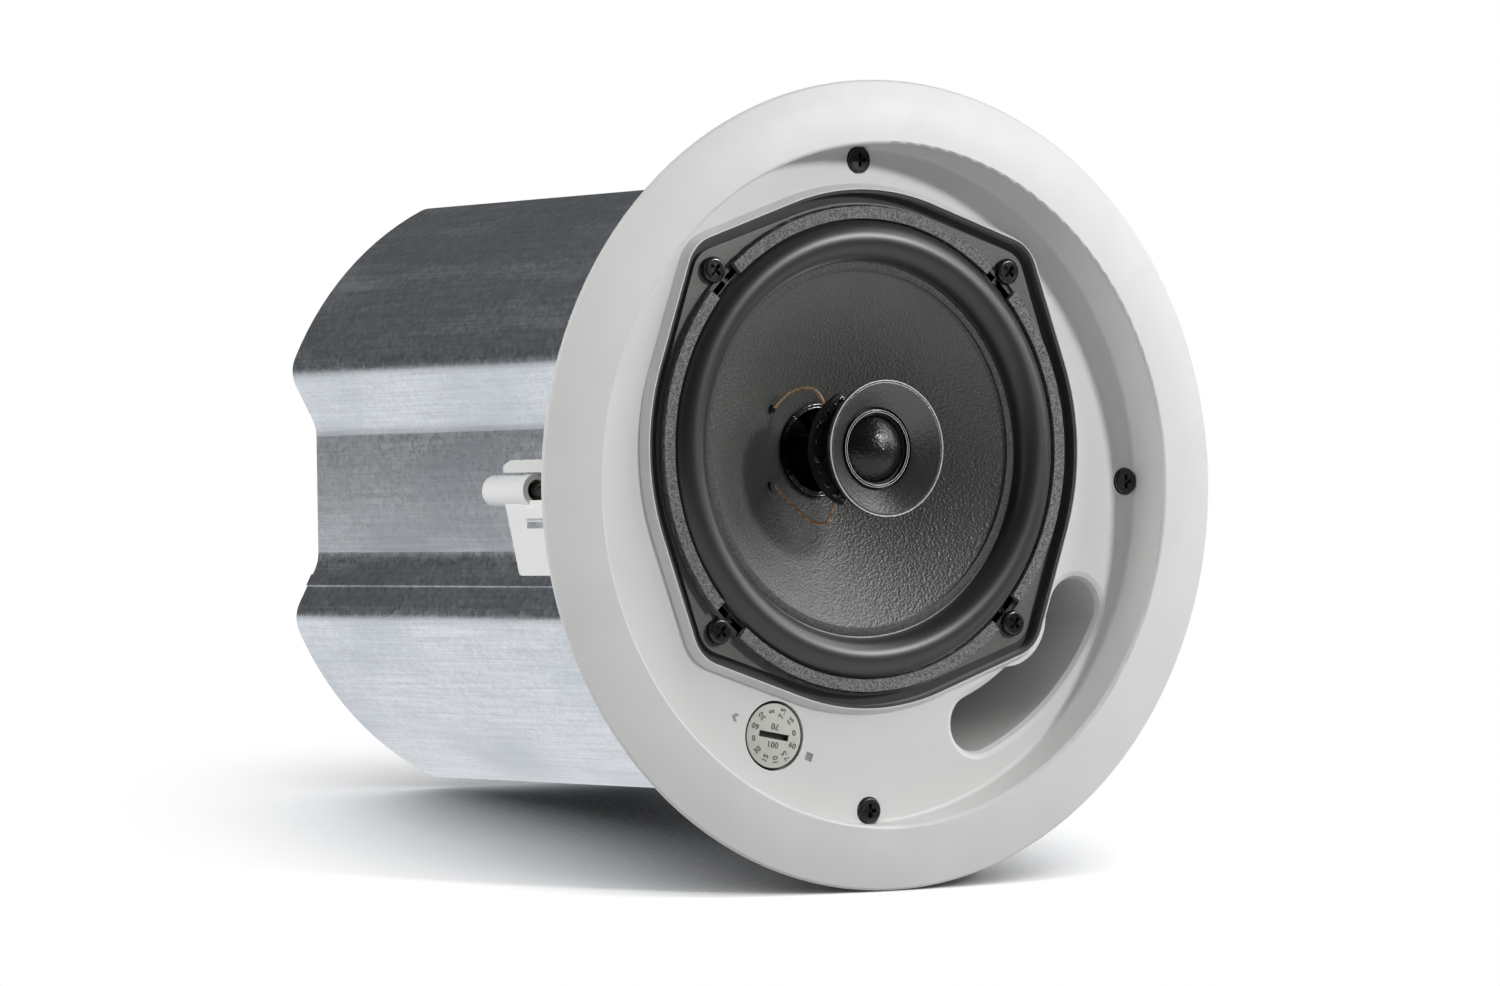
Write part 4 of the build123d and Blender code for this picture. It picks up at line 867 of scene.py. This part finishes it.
def turned(
    name: str,
    profile: Sequence[Pair],
    centre: Pair = (0.0, DRIVER_RISE),
    points: int = 160,
    closed: bool = True,
) -> Piece:
    """Turn a piece about an axis along Y by extruding one ring after another.

    Args:
        name: The piece's name.
        profile: Radius and depth of each ring, in millimetres.
        centre: The axis's X and Z, in millimetres.
        points: Points round each ring.
        closed: Whether the last ring is bridged back to the first, or both are filled.

    Returns:
        The new piece.
    """
    pick()
    x, z = centre[0] * MM, centre[1] * MM
    first_radius, first_depth = profile[0]
    bpy.ops.mesh.primitive_circle_add(
        vertices=points,
        radius=first_radius * MM,
        location=(x, first_depth * MM, z),
        rotation=(math.pi / 2, 0, 0),
    )
    piece = name_new(name)
    settle(piece)
    bpy.ops.object.mode_set(mode="EDIT")
    bpy.ops.mesh.select_mode(type="EDGE")
    bpy.ops.mesh.select_all(action="SELECT")
    for before, after in zip(profile, profile[1:]):
        move = (0.0, (after[1] - before[1]) * MM, 0.0)
        bpy.ops.mesh.extrude_region_move(TRANSFORM_OT_translate={"value": move})
        ratio = after[0] / before[0]
        middle = (x, after[1] * MM, z)
        bpy.ops.transform.resize(value=(ratio, 1.0, ratio), center_override=middle)
    if closed:
        bpy.ops.mesh.select_all(action="DESELECT")
        bpy.ops.mesh.select_non_manifold(extend=False)
        bpy.ops.mesh.bridge_edge_loops()
    else:
        bpy.ops.mesh.select_all(action="SELECT")
        bpy.ops.mesh.fill_holes(sides=0)
    close()
    smooth(piece)
    return piece


def finish(piece: Piece, coat: Finish, body: Body | None = None) -> None:
    """Give a piece its material and the body it rides on, or none if it stretches.

    Args:
        piece: The object.
        coat: Its finish.
        body: The body it rides on, or none for a piece that stretches.
    """
    piece.data.materials.clear()
    piece.data.materials.append(coat.build())
    if body is not None:
        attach(piece, body.value)
    LOG.info("made %s", piece.name)


def arc_points(first: Pair, middle: Pair, last: Pair, steps: int) -> list[Pair]:
    """Points along the circle through three points.

    Args:
        first: Where the arc starts.
        middle: A point that the arc passes.
        last: Where the arc ends.
        steps: How many runs the arc is divided into.

    Returns:
        The points, both ends included.
    """
    (ax, ay), (bx, by), (cx, cy) = first, middle, last
    a, b, c = [x * x + y * y for x, y in (first, middle, last)]
    scale = 2 * (ax * (by - cy) + bx * (cy - ay) + cx * (ay - by))
    ux = (a * (by - cy) + b * (cy - ay) + c * (ay - by)) / scale
    uy = (a * (cx - bx) + b * (ax - cx) + c * (bx - ax)) / scale
    radius = math.hypot(ax - ux, ay - uy)
    start, through, end = [math.atan2(y - uy, x - ux) for x, y in (first, middle, last)]
    through = (through - start) % (2 * math.pi)
    sweep = (end - start) % (2 * math.pi)
    if through > sweep:
        sweep -= 2 * math.pi
    turns = [start + sweep * step / steps for step in range(steps + 1)]
    return [(ux + radius * math.cos(turn), uy + radius * math.sin(turn)) for turn in turns]


def follow_cone(piece: Piece, outer_mm: float, inner_mm: float) -> None:
    """Let a ring stretch between the housing, outside, and the cone, inside.

    Args:
        piece: A finished mesh round the driver's axis.
        outer_mm: The radius that stays with the housing.
        inner_mm: The radius that goes with the cone.
    """
    start = (outer_mm * MM, 0.0, DRIVER_RISE * MM)
    end = (inner_mm * MM, 0.0, DRIVER_RISE * MM)
    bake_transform(piece, Body.HOUSING.value, Body.CONE.value, start=start, end=end)
    weights = piece.data.attributes["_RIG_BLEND"].data
    for vertex, weight in zip(piece.data.vertices, weights):
        reach = math.hypot(vertex.co.x, vertex.co.z - DRIVER_RISE * MM) / MM
        share = min(1.0, max(0.0, (outer_mm - reach) / (outer_mm - inner_mm)))
        weight.value = share * share * (3 - 2 * share)


@dataclass(frozen=True)
class Suspension:
    """The rubber roll and the glue on its landing, the spider, and the gasket's glue."""

    flange_radius: float = 73.7
    flange_front: float = 10.95
    roll_outer: float = 71.3
    roll_inner: float = 58.4
    roll_bend: float = 0.35
    front_feet: tuple[Pair, Pair] = ((71.15, 10.85), (58.5, 12.35))
    back_feet: tuple[Pair, Pair] = ((70.75, 11.55), (58.75, 13.1))
    crest: Pair = (64.8, 6.7)
    landing_radius: float = 55.4
    landing_front: float = 12.5
    thickness: float = 0.6
    arc_steps: int = 26
    coat_radii: tuple[float, ...] = (58.2, 57.9, 55.6, 55.4)
    coat_thickness: float = 0.12
    spider_outer: float = 50.5
    spider_inner: float = 13.9
    spider_collar: float = 1.5
    spider_flat: float = 43.5
    spider_back: float = 47.0
    spider_half: float = 0.25
    spider_wave: float = 1.1
    spider_waves: int = 5
    wave_steps: int = 12
    glue_wander: float = 0.14
    glue_section: tuple[Pair, ...] = (
        *((75.5, 11.5), (75.7, 10.7), (75.35, 10.3), (75.25, 10.95)),
        *((71.35, 10.95), (71.2, 10.3), (70.95, 10.7), (71.1, 10.9)),
    )

    def build(self) -> None:
        """Make every part."""
        self.roll()
        self.landing_coat()
        self.spider()
        self.gasket_glue()

    def roll(self) -> None:
        """The flange, the half roll with rolled feet, and the landing glued to the cone."""
        flange_back = self.flange_front + self.thickness
        landing_back = self.landing_front + self.thickness
        crest_back = (self.crest[0], self.crest[1] + self.thickness)
        outer_foot, inner_foot = self.front_feet
        outer_back, inner_back = self.back_feet
        profile = [
            (self.flange_radius, self.flange_front),
            (self.roll_outer + self.roll_bend, self.flange_front),
            *arc_points(outer_foot, self.crest, inner_foot, self.arc_steps),
            (self.roll_inner - self.roll_bend, self.landing_front),
            (self.landing_radius, self.landing_front),
            (self.landing_radius, landing_back),
            *arc_points(inner_back, crest_back, outer_back, self.arc_steps),
            (self.flange_radius, flange_back),
        ]
        piece = turned("surround_roll", profile, points=256)
        finish(piece, BUTYL)
        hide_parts("surround")
        follow_cone(piece, self.roll_outer, self.roll_inner)

    def landing_coat(self) -> None:
        """The dull, grainy coat of glue on the landing."""
        front = self.landing_front - self.coat_thickness
        depths = (self.landing_front, front, front, self.landing_front)
        piece = turned("landing_glue_coat", list(zip(self.coat_radii, depths)), points=256)
        finish(piece, GLUE_COAT, Body.CONE)

    def spider(self) -> None:
        """The corrugated cloth disc behind the cone."""
        middle = self.spider_back - self.thickness / 2 - self.spider_wave
        inside = self.spider_inner + self.spider_collar
        reach = self.spider_flat - self.spider_inner - self.spider_collar
        wave = []
        for step in range(self.wave_steps * self.spider_waves + 1):
            share = step / (self.wave_steps * self.spider_waves)
            swell = self.spider_wave * math.cos(2 * math.pi * self.spider_waves * share)
            wave.append((inside + reach * share, middle + swell))
        front = [(radius, depth - self.spider_half) for radius, depth in wave]
        back = [(radius, depth + self.spider_half) for radius, depth in reversed(wave)]
        profile = [
            (self.spider_inner, front[0][1]),
            *front,
            (self.spider_outer, self.spider_back - 2 * self.spider_half),
            (self.spider_outer, self.spider_back),
            *back,
            (self.spider_inner, back[-1][1]),
        ]
        piece = turned("spider_cloth", profile, points=128)
        finish(piece, DOPED_COTTON)
        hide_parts("spider")
        follow_cone(piece, self.spider_flat, self.spider_inner + 1)

    def gasket_glue(self) -> None:
        """Black glue that shows unevenly under both edges of the gasket."""
        piece = turned("gasket_glue_line", self.glue_section, points=220)
        for number, vertex in enumerate(piece.data.vertices):
            reach = Vector((vertex.co.x, 0.0, vertex.co.z - DRIVER_RISE * MM))
            wander = self.glue_wander * math.sin(number * 2.3) * math.sin(number * 0.37) * MM
            grown = reach * (1 + wander / reach.length)
            vertex.co.x = grown.x
            vertex.co.z = grown.z + DRIVER_RISE * MM
        finish(piece, BUTYL, Body.HOUSING)


@dataclass(frozen=True)
class Bead:
    """One thin rounded lip that stands on a node's front, half_width each side of its middle."""

    name: str
    node: str
    radius: float
    half_width: float
    coat: Finish
    body: Body
    sunk: float = 0.05

    def build(self) -> None:
        """Turn the lip."""
        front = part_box(self.node)[0][1] / MM
        half = self.half_width
        profile = [
            (self.radius - half, front + self.sunk),
            (self.radius - half * 0.8, front - half * 0.3),
            (self.radius, front - half * 0.55),
            (self.radius + half * 0.8, front - half * 0.3),
            (self.radius + half, front + self.sunk),
            (self.radius, front + half * 0.6),
        ]
        finish(turned(self.name, profile), self.coat, self.body)


# The first three lips are painted highlights on the flare's edge and the ring's two edges; the last two are
# glossy glue on the former.
BEADS = (
    Bead("flare_edge_lip", "tweeter_flare", 20.95, 0.2, EDGE_HIGHLIGHT, Body.HOUSING),
    Bead("ring_lip_0", "tweeter_ring", 11.3, 0.11, EDGE_HIGHLIGHT, Body.HOUSING),
    Bead("ring_lip_1", "tweeter_ring", 11.95, 0.11, EDGE_HIGHLIGHT, Body.HOUSING),
    Bead("former_glue_line_0", "voice_coil_former", 13.35, 0.24, WET_GLUE, Body.CONE),
    Bead("former_glue_line_1", "voice_coil_former", 14.25, 0.24, WET_GLUE, Body.CONE),
)


@dataclass(frozen=True)
class StripGlue:
    """The glossy glue along the tweeter's terminal strip."""

    radius: float = 17.3
    front: float = 12.15
    angles: tuple[float, ...] = (116, 126, 139, 154, 171, 190, 203, 219, 234, 243)
    sizes: tuple[float, ...] = (1.15, 0.75, 0.95, 1.25, 0.7)
    shape: Point = (0.9, 0.55, 1.35)
    stray: float = 25.0
    lump_mm: float = 0.9
    swell: float = 0.5

    def build(self) -> None:
        """Drop uneven blobs of glue along the strip, join them and make them lumpy."""
        blobs = []
        for number, angle in enumerate(self.angles):
            x, z = around(angle, self.radius)
            pick()
            bpy.ops.mesh.primitive_ico_sphere_add(
                subdivisions=4,
                radius=self.sizes[number % len(self.sizes)] * MM,
                location=(x * MM, self.front * MM, (DRIVER_RISE + z) * MM),
            )
            blob = name_new(f"glue_blob_{number}")
            blob.scale = self.shape
            turn = angle + self.stray * (number % 3 - 1)
            blob.rotation_euler = (0.0, -math.radians(turn), 0.0)
            settle(blob)
            blobs.append(blob)
        pick(*blobs)
        bpy.ops.object.join()
        piece = name_new("strip_glue_blobs")
        lumps = clouds("glue_lumps", self.lump_mm)
        modify(piece, "DISPLACE", texture=lumps, strength=self.swell * MM)
        smooth(piece, 60.0)
        finish(piece, WET_GLUE, Body.HOUSING)


@dataclass(frozen=True)
class Lead:
    """One twisted lead that goes from an eyelet in the cone to the tweeter's strip."""

    name: str
    route: tuple[Point, ...]
    radius: float = 0.58
    strands: int = 3
    strand_share: float = 0.56
    twist_length: float = 2.6
    smoothness: int = 12

    def build(self) -> None:
        """Sweep strands that twist round the lead's smooth line."""
        points = self.line()
        curve = bpy.data.curves.new(f"tweeter_lead_{self.name}_strands", "CURVE")
        bevel = self.radius * self.strand_share * MM
        configure(curve, dimensions="3D", bevel_depth=bevel, bevel_resolution=3, use_fill_caps=True)
        for strand in range(self.strands):
            spline = curve.splines.new("POLY")
            spline.points.add(len(points) - 1)
            for point, place in zip(spline.points, self.strand(points, strand / self.strands)):
                point.co = (*place, 1.0)
        pick(stand(curve))
        bpy.ops.object.convert(target="MESH")
        piece = bpy.context.active_object
        smooth(piece, 60.0)
        finish(piece, COPPER_LEAD)
        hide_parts(f"tweeter_lead_{self.name}")
        start, end = [tuple(part * MM for part in self.route[index]) for index in (0, -1)]
        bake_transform(piece, Body.CONE.value, Body.HOUSING.value, start=start, end=end)

    def line(self) -> list[Vector]:
        """Points along the smooth line that the route controls.

        Returns:
            The line's points, in metres.
        """
        curve = bpy.data.curves.new(f"lead_line_{self.name}", "CURVE")
        curve.dimensions = "3D"
        spline = curve.splines.new("NURBS")
        spline.points.add(len(self.route) - 1)
        for point, place in zip(spline.points, self.route):
            point.co = (*(part * MM for part in place), 1.0)
        configure(spline, order_u=3, use_endpoint_u=True, resolution_u=self.smoothness)
        holder = stand(curve)
        mesh = bpy.data.meshes.new_from_object(holder)
        points = [vertex.co.copy() for vertex in mesh.vertices]
        bpy.data.meshes.remove(mesh)
        bpy.data.objects.remove(holder)
        bpy.data.curves.remove(curve)
        return points

    def strand(self, points: Sequence[Vector], phase: float) -> list[Vector]:
        """Points of one strand that winds round a line.

        Args:
            points: The line.
            phase: Where round the line the strand starts, in turns.

        Returns:
            As many points as the line has.
        """
        wound = []
        travelled = 0.0
        for number, place in enumerate(points):
            if number:
                travelled += (place - points[number - 1]).length
            ahead = points[min(number + 1, len(points) - 1)] - points[max(number - 1, 0)]
            ahead.normalize()
            side = ahead.cross(Vector((0.3, 1.0, 0.2))).normalized()
            lift = ahead.cross(side)
            turn = 2 * math.pi * (travelled / (self.twist_length * MM) + phase)
            offset = side * math.cos(turn) + lift * math.sin(turn)
            wound.append(place + offset * self.radius * 0.5 * MM)
        return wound


UPPER_ROUTE: tuple[Point, ...] = (
    *((-22.5, 27.2, 24.5), (-20.1, 25.6, 28.4), (-15.6, 22.9, 30.6)),
    *((-12.4, 20.3, 30.2), (-11.2, 17.8, 27.6), (-12.2, 14.7, 24.9)),
)
LOWER_ROUTE: tuple[Point, ...] = (
    *((-22.6, 27.6, 0.4), (-18.8, 25.6, -5.1), (-13.7, 23.3, -10.2)),
    *((-10.3, 20.9, -12.3), (-8.4, 18.4, -10.7), (-8.7, 14.7, -4.9)),
)
LEADS = (Lead("upper", UPPER_ROUTE), Lead("lower", LOWER_ROUTE))


@dataclass(frozen=True)
class Selector:
    """The slotted dial with its moulded figures, and painted shade in the two marks beside it."""

    centre: Pair = (-34.8, -76.5)
    face: float = 12.1
    dial_radius: float = 9.95
    dial_thickness: float = 2.2
    dial_edge: float = 0.18
    bore: float = 0.4
    shaft_radius: float = 3.0
    shaft_length: float = 8.0
    slot_size: Pair = (10.9, 1.9)
    slot_depth: float = 1.6
    figures: tuple[str, ...] = (
        *("0", "15", "7.5", "5", "30", "60"),
        *("0", "30", "15", "10", "7.5", "60"),
    )
    figure_radius: float = 7.5
    figure_height: float = 1.85
    figure_start: float = 4.0
    figure_step: float = 30.0
    upside_down: Pair = (165.0, 320.0)
    label_height: float = 2.0
    label_radius: float = 2.9
    lean: float = -11.0
    relief: float = 0.12
    stroke: float = 0.015
    letter_space: float = 1.08
    body_height: float = 1.35
    square_place: Pair = (-22.1, -83.4)
    square_floor: float = 12.2
    arrow_place: Pair = (-49.2, -70.3)
    arrow_floor: float = 11.8
    arrow_width: float = 1.4
    mark_size: float = 2.5
    mark_lean: float = -24.0
    # How far the sheet of painted shade sits below each mark's surface.
    mark_ground: float = 0.06

    def build(self) -> None:
        """Make the dial, painted shade in the marks, the figures and a label each side of the slot."""
        self.dial()
        self.mark("square_mark_ground", self.square_place, self.square_floor, self.mark_size, 0.0)
        sweep = (self.mark_size - self.arrow_width) / 2
        self.mark("arrow_mark_ground", self.arrow_place, self.arrow_floor, self.arrow_width, sweep)
        first, last = self.upside_down
        for number, words in enumerate(self.figures):
            angle = self.figure_start + self.figure_step * number
            turn = angle + 180 if first < angle % 360 < last else angle
            place = around(angle, self.figure_radius)
            self.figure(f"dial_figure_{number}", words, place, turn, self.figure_height)
        for name, words, side in (("upper", "70", 90), ("lower", "100", -90)):
            place = around(self.lean + side, self.label_radius)
            turn = self.lean + side + 90
            self.figure(f"dial_label_{name}", words, place, turn, self.label_height)

    def dial(self) -> None:
        """Turn the dial with its softened edge and its shaft, and cut its slot."""
        edge, back = self.dial_edge, self.face + self.dial_thickness
        profile = [
            (self.bore, self.face),
            (self.dial_radius - edge, self.face),
            (self.dial_radius - edge * 0.3, self.face + edge * 0.3),
            (self.dial_radius, self.face + edge),
            (self.dial_radius, back),
            (self.shaft_radius, back),
            (self.shaft_radius, back + self.shaft_length),
            (self.bore, back + self.shaft_length),
        ]
        dial = turned("selector_dial", profile, self.centre, points=128, closed=False)
        middle = (self.centre[0] * MM, self.face * MM, self.centre[1] * MM)
        turn = (0.0, -math.radians(self.lean), 0.0)
        bpy.ops.mesh.primitive_cube_add(size=1.0, location=middle, rotation=turn)
        cutter = name_new("slot_cutter")
        length, width = self.slot_size
        cutter.scale = (length * MM, 2 * self.slot_depth * MM, width * MM)
        settle(cutter)
        modify(dial, "BOOLEAN", object=cutter, operation="DIFFERENCE", solver="EXACT")
        bpy.data.objects.remove(cutter)
        smooth(dial, 30.0)
        finish(dial, DIAL_ABS, Body.DIAL)
        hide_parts("tap_selector_dial")

    def mark(self, name: str, place: Pair, floor: float, width: float, sweep: float) -> None:
        """Lay a sheet of painted shade in the hollow of one mark.

        Args:
            name: The piece's name.
            place: The mark's middle, X and Z in millimetres.
            floor: How deep the surface that it lies on is, in millimetres.
            width: How wide it is, in millimetres.
            sweep: How far its middle goes left and its ends go right, which makes an arrow.
        """
        pick()
        bpy.ops.mesh.primitive_grid_add(x_subdivisions=1, y_subdivisions=2, size=1.0)
        piece = name_new(name)
        piece.scale = (width * MM, self.mark_size * MM, 1.0)
        settle(piece)
        for vertex in piece.data.vertices:
            vertex.co.x += (-sweep if abs(vertex.co.y) < 0.01 * MM else sweep) * MM
        piece.rotation_euler = (math.pi / 2, -math.radians(self.mark_lean), 0.0)
        piece.location = (place[0] * MM, (floor - self.mark_ground) * MM, place[1] * MM)
        settle(piece)
        modify(piece, "SOLIDIFY", thickness=self.mark_ground * 0.8 * MM, offset=-1.0)
        finish(piece, MARK_SHADE, Body.HOUSING)

    def figure(self, name: str, words: str, place: Pair, turn: float, height: float) -> None:
        """Add one raised figure.

        Args:
            name: The piece's name.
            words: The figure itself.
            place: Its middle from the dial's middle, X and Z in millimetres.
            turn: How its own line is turned, in degrees.
            height: Its height, in millimetres.
        """
        x, z = self.centre[0] + place[0], self.centre[1] + place[1]
        pick()
        bpy.ops.object.text_add(
            location=(x * MM, (self.face - self.relief * 0.5) * MM, z * MM),
            rotation=(math.pi / 2, -math.radians(turn), 0),
        )
        configure(
            bpy.context.active_object.data,
            body=words,
            size=height * self.body_height * MM,
            align_x="CENTER",
            align_y="CENTER",
            extrude=self.relief * 0.5 * MM,
            offset=self.stroke * MM,
            space_character=self.letter_space,
        )
        bpy.ops.object.convert(target="MESH")
        piece = name_new(name)
        settle(piece)
        finish(piece, DIAL_INK, Body.DIAL)


@dataclass(frozen=True)
class ClampThreads:
    """The rolled threads on the clamp screws' shanks."""

    pitch: float = 1.6
    circle: float = 100.9
    section: tuple[Pair, ...] = ((1.95, -0.5), (2.3, -0.08), (1.95, 0.5), (2.3, 0.08))
    start: float = 19.0
    end: float = 50.0
    steps: int = 20

    def build(self) -> None:
        """Wind one thread round each screw."""
        for side in Side:
            name = f"clamp_thread_{side.name.lower()}"
            piece = self.thread(name, around(side.value, self.circle))
            finish(piece, BLACK_STEEL, Body[f"SCREW_{side.name}"])

    def thread(self, name: str, centre: Pair) -> Piece:
        """Sweep a small ridge up a helix with the screw modifier.

        Args:
            name: The piece's name.
            centre: X and Z of the screw's middle, in millimetres.

        Returns:
            The thread.
        """
        pick()
        bpy.ops.mesh.primitive_plane_add(size=1.0, rotation=(math.pi / 2, 0, 0))
        piece = name_new(name)
        settle(piece)
        corners = sorted(piece.data.vertices, key=lambda vertex: (vertex.co.z, vertex.co.x))
        for corner, (radius, height) in zip(corners, self.section):
            corner.co = Vector((radius, 0.0, height)) * MM
        modify(
            piece,
            "SCREW",
            axis="Z",
            steps=self.steps,
            render_steps=self.steps,
            screw_offset=self.pitch * MM,
            iterations=int((self.end - self.start) / self.pitch),
            use_merge_vertices=True,
        )
        raised = Matrix.Translation(Vector((centre[0], self.start, centre[1])) * MM)
        piece.data.transform(raised @ Matrix.Rotation(-math.pi / 2, 4, "X"))
        edit()
        close()
        smooth(piece, 40.0)
        return piece


@dataclass(frozen=True)
class Wadding:
    """The fibre blanket that lines the can."""

    radius: float = 84.0
    inner: float = 73.2
    front: float = 96.0
    back: float = 178.0
    start: float = -15.0
    span: float = 250.0
    steps: int = 90
    fluff: float = 0.9
    tuft_mm: float = 9.0

    def build(self) -> None:
        """Spin a flat section round the can and tease its surface."""
        pick()
        middle = ((self.radius + self.inner) / 2 * MM, (self.front + self.back) / 2 * MM, 0)
        bpy.ops.mesh.primitive_grid_add(
            x_subdivisions=4, y_subdivisions=24, size=1.0, location=middle
        )
        piece = name_new("wadding_blanket")
        depth = self.radius - self.inner - 2 * self.fluff
        length = self.back - self.front - 2 * self.fluff
        piece.scale = (depth * MM, length * MM, 1.0)
        settle(piece)
        piece.data.transform(Matrix.Rotation(-math.radians(self.start), 4, "Y"))
        edit()
        turn = math.radians(self.span)
        bpy.ops.mesh.spin(steps=self.steps, angle=turn, center=ORIGIN, axis=(0, -1, 0))
        close()
        tufts = clouds("wadding_tufts", self.tuft_mm)
        strength = 2 * self.fluff * MM
        modify(piece, "DISPLACE", texture=tufts, texture_coords="LOCAL", strength=strength)
        smooth(piece, 80.0)
        finish(piece, FIBRE_WAD, Body.HOUSING)
        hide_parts("damping_wadding")


@dataclass(frozen=True)
class Lamp:
    """One soft elliptical lamp: where it hangs, how wide and high it is in metres, its watts."""

    name: str
    place: Point
    size: Pair
    power: float

    def hang(self, aim: Point) -> None:
        """Add the lamp, looking at a point.

        Args:
            aim: The point that the lamp faces, in metres.
        """
        data = bpy.data.lights.new(self.name, "AREA")
        width, height = self.size
        configure(data, shape="ELLIPSE", size=width, size_y=height, energy=self.power)
        view = Vector(aim) - Vector(self.place)
        stand(data, self.place, view.to_track_quat("-Z", "Y").to_euler())


@dataclass(frozen=True)
class Studio:
    """The pale floor, the lamps, the room round them and the camera."""

    rim_foot: float = -125.2
    can_foot: float = -97.4
    can_back: float = 202.2
    floor_size: float = 9.0
    floor_tone: Colour = (0.4, 0.4, 0.405, 1.0)
    shade_reach: float = 0.22
    shade_power: float = 1.25
    shade_gain: float = 2.5
    fade_place: Point = (0.0, -0.08, 0.0)
    fade_scale: Point = (1.0, 0.9, 0.0)
    fade: Pair = (0.085, 0.2)
    mirror_fade: Pair = (0.35, 1.3)
    mirror_level: Pair = (0.9, 0.1)
    mirror_tone: Colour = (0.97, 0.985, 1.0, 1.0)
    room_tone: Colour = (0.15, 0.15, 0.152, 1.0)
    level_tone: Colour = (0.1, 0.103, 0.107, 1.0)
    upper_tone: Colour = (0.08, 0.083, 0.085, 1.0)
    ceiling_tone: Colour = (0.13, 0.132, 0.135, 1.0)
    upper_height: float = 0.35
    ceiling_height: float = 0.7
    aim: Point = (0.0, 0.05, 0.0)
    lamps: tuple[Lamp, ...] = (
        Lamp("key", (0.62, -0.84, 0.42), (0.15, 0.15), 6.3),
        Lamp("right", (1.05, -0.42, 0.62), (0.6, 1.3), 7.0),
        Lamp("left", (-1.5, -0.05, 0.4), (0.9, 0.9), 14.5),
    )
    camera_place: Point = (-1.186115, -1.706471, -0.002607)
    camera_turn: Point = (90.021306, 0.914115, -33.648734)
    lens: float = 161.6331
    sensor: float = 36.0
    far_clip: float = 50.0

    def build(self) -> None:
        """Set everything that isn't the object."""
        self.camera()
        self.floor()
        self.world()
        for lamp in self.lamps:
            lamp.hang(self.aim)
        bpy.context.scene.view_settings.view_transform = "Standard"

    def camera(self) -> None:
        """Stand the camera where the photograph was taken from."""
        data = bpy.data.cameras.new("camera")
        configure(data, lens=self.lens, sensor_width=self.sensor, clip_end=self.far_clip)
        turn = [math.radians(part) for part in self.camera_turn]
        bpy.context.scene.camera = stand(data, self.camera_place, turn)

    def floor(self) -> None:
        """Lay a white sheet that the rim and the can's back edge stand on."""
        slope = math.atan2(self.can_foot - self.rim_foot, self.can_back)
        pick()
        bpy.ops.mesh.primitive_grid_add(x_subdivisions=8, y_subdivisions=8, size=self.floor_size)
        sheet = name_new("studio_floor")
        sheet.rotation_euler = (slope, 0, 0)
        sheet.location = (0, 0, self.rim_foot * MM)
        settle(sheet)
        sheet.data.materials.append(self.paper())

    def paper(self) -> bpy.types.Material:
        """White paper with the object's shade, pure white further away and paler in mirrors.

        Returns:
            The paper.
        """
        paper = Surface("studio_paper")
        paper.give("Base Color", self.floor_tone)
        paper.give("Roughness", 0.9)
        sky = paper.add("AmbientOcclusion", {"Distance": self.shade_reach}, samples=16)
        shade = paper.out("Math", (sky.outputs["AO"], self.shade_power), operation="POWER")
        level = paper.out("Math", (shade, self.shade_gain), operation="MULTIPLY")
        near = paper.out("BsdfDiffuse", {"Color": level})
        values = {"Vector": paper.place, "Location": self.fade_place, "Scale": self.fade_scale}
        flat = paper.out("Mapping", values)
        reach = paper.add("VectorMath", {0: flat}, operation="LENGTH").outputs["Value"]
        eased = {"interpolation_type": "SMOOTHSTEP"}
        far = paper.out("MapRange", (reach, *self.fade), **eased)
        glow = paper.out("Emission", {"Color": WHITE, "Strength": 1.0})
        fading = (reach, *self.mirror_fade, *self.mirror_level)
        mirrored = paper.out("MapRange", fading, **eased)
        sheen = paper.out("Emission", {"Color": self.mirror_tone, "Strength": mirrored})
        rays = paper.add("LightPath").outputs
        front = paper.out("MixShader", (far, near, glow))
        seen = paper.out("MixShader", (rays["Is Camera Ray"], paper.shader.outputs[0], front))
        mixed = paper.out("MixShader", (rays["Is Glossy Ray"], seen, sheen))
        paper.feed(paper.tree.nodes["Material Output"], "Surface", mixed)
        return paper.material

    def world(self) -> None:
        """White behind the object, and a plain grey room that glossy things mirror."""
        world = bpy.data.worlds.new("studio_room")
        bpy.context.scene.world = world
        world.use_nodes = True
        air = Wiring(world.node_tree)
        room = air.tree.nodes["Background"]
        room.inputs["Strength"].default_value = 1.0
        place = air.add("TexCoord").outputs["Generated"]
        height = air.add("SeparateXYZ", {0: place}).outputs[2]
        ramp = air.add("ValToRGB", (air.out("MapRange", (height, 0, self.ceiling_height)),))
        stops = ramp.color_ramp.elements
        stops[0].color = self.level_tone
        stops[1].color = self.ceiling_tone
        stops.new(self.upper_height).color = self.upper_tone
        rays = air.add("LightPath").outputs
        tones = {0: rays["Is Glossy Ray"], 6: self.room_tone, 7: ramp.outputs[0]}
        tone = air.add("Mix", tones, data_type="RGBA").outputs[2]
        air.feed(room, "Color", tone)
        white = air.out("Background", {"Color": WHITE, "Strength": 1.0})
        mixed = air.out("MixShader", (rays["Is Camera Ray"], room.outputs[0], white))
        air.feed(air.tree.nodes["World Output"], "Surface", mixed)


def dress_cad() -> None:
    """Give every CAD node that stays in sight its finish."""
    for coat, names in DRESSED_NODES.items():
        for name in names.split():
            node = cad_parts[name]
            node.data.materials.clear()
            node.data.materials.append(coat.build())


def main() -> None:
    """Build the scene, piece by piece."""
    logging.basicConfig(level=logging.INFO, format="%(message)s")
    Studio().build()
    dress_cad()
    pieces = (Suspension(), *BEADS, StripGlue(), *LEADS, Selector(), ClampThreads(), Wadding())
    for piece in pieces:
        piece.build()


if __name__ == "__main__":
    main()
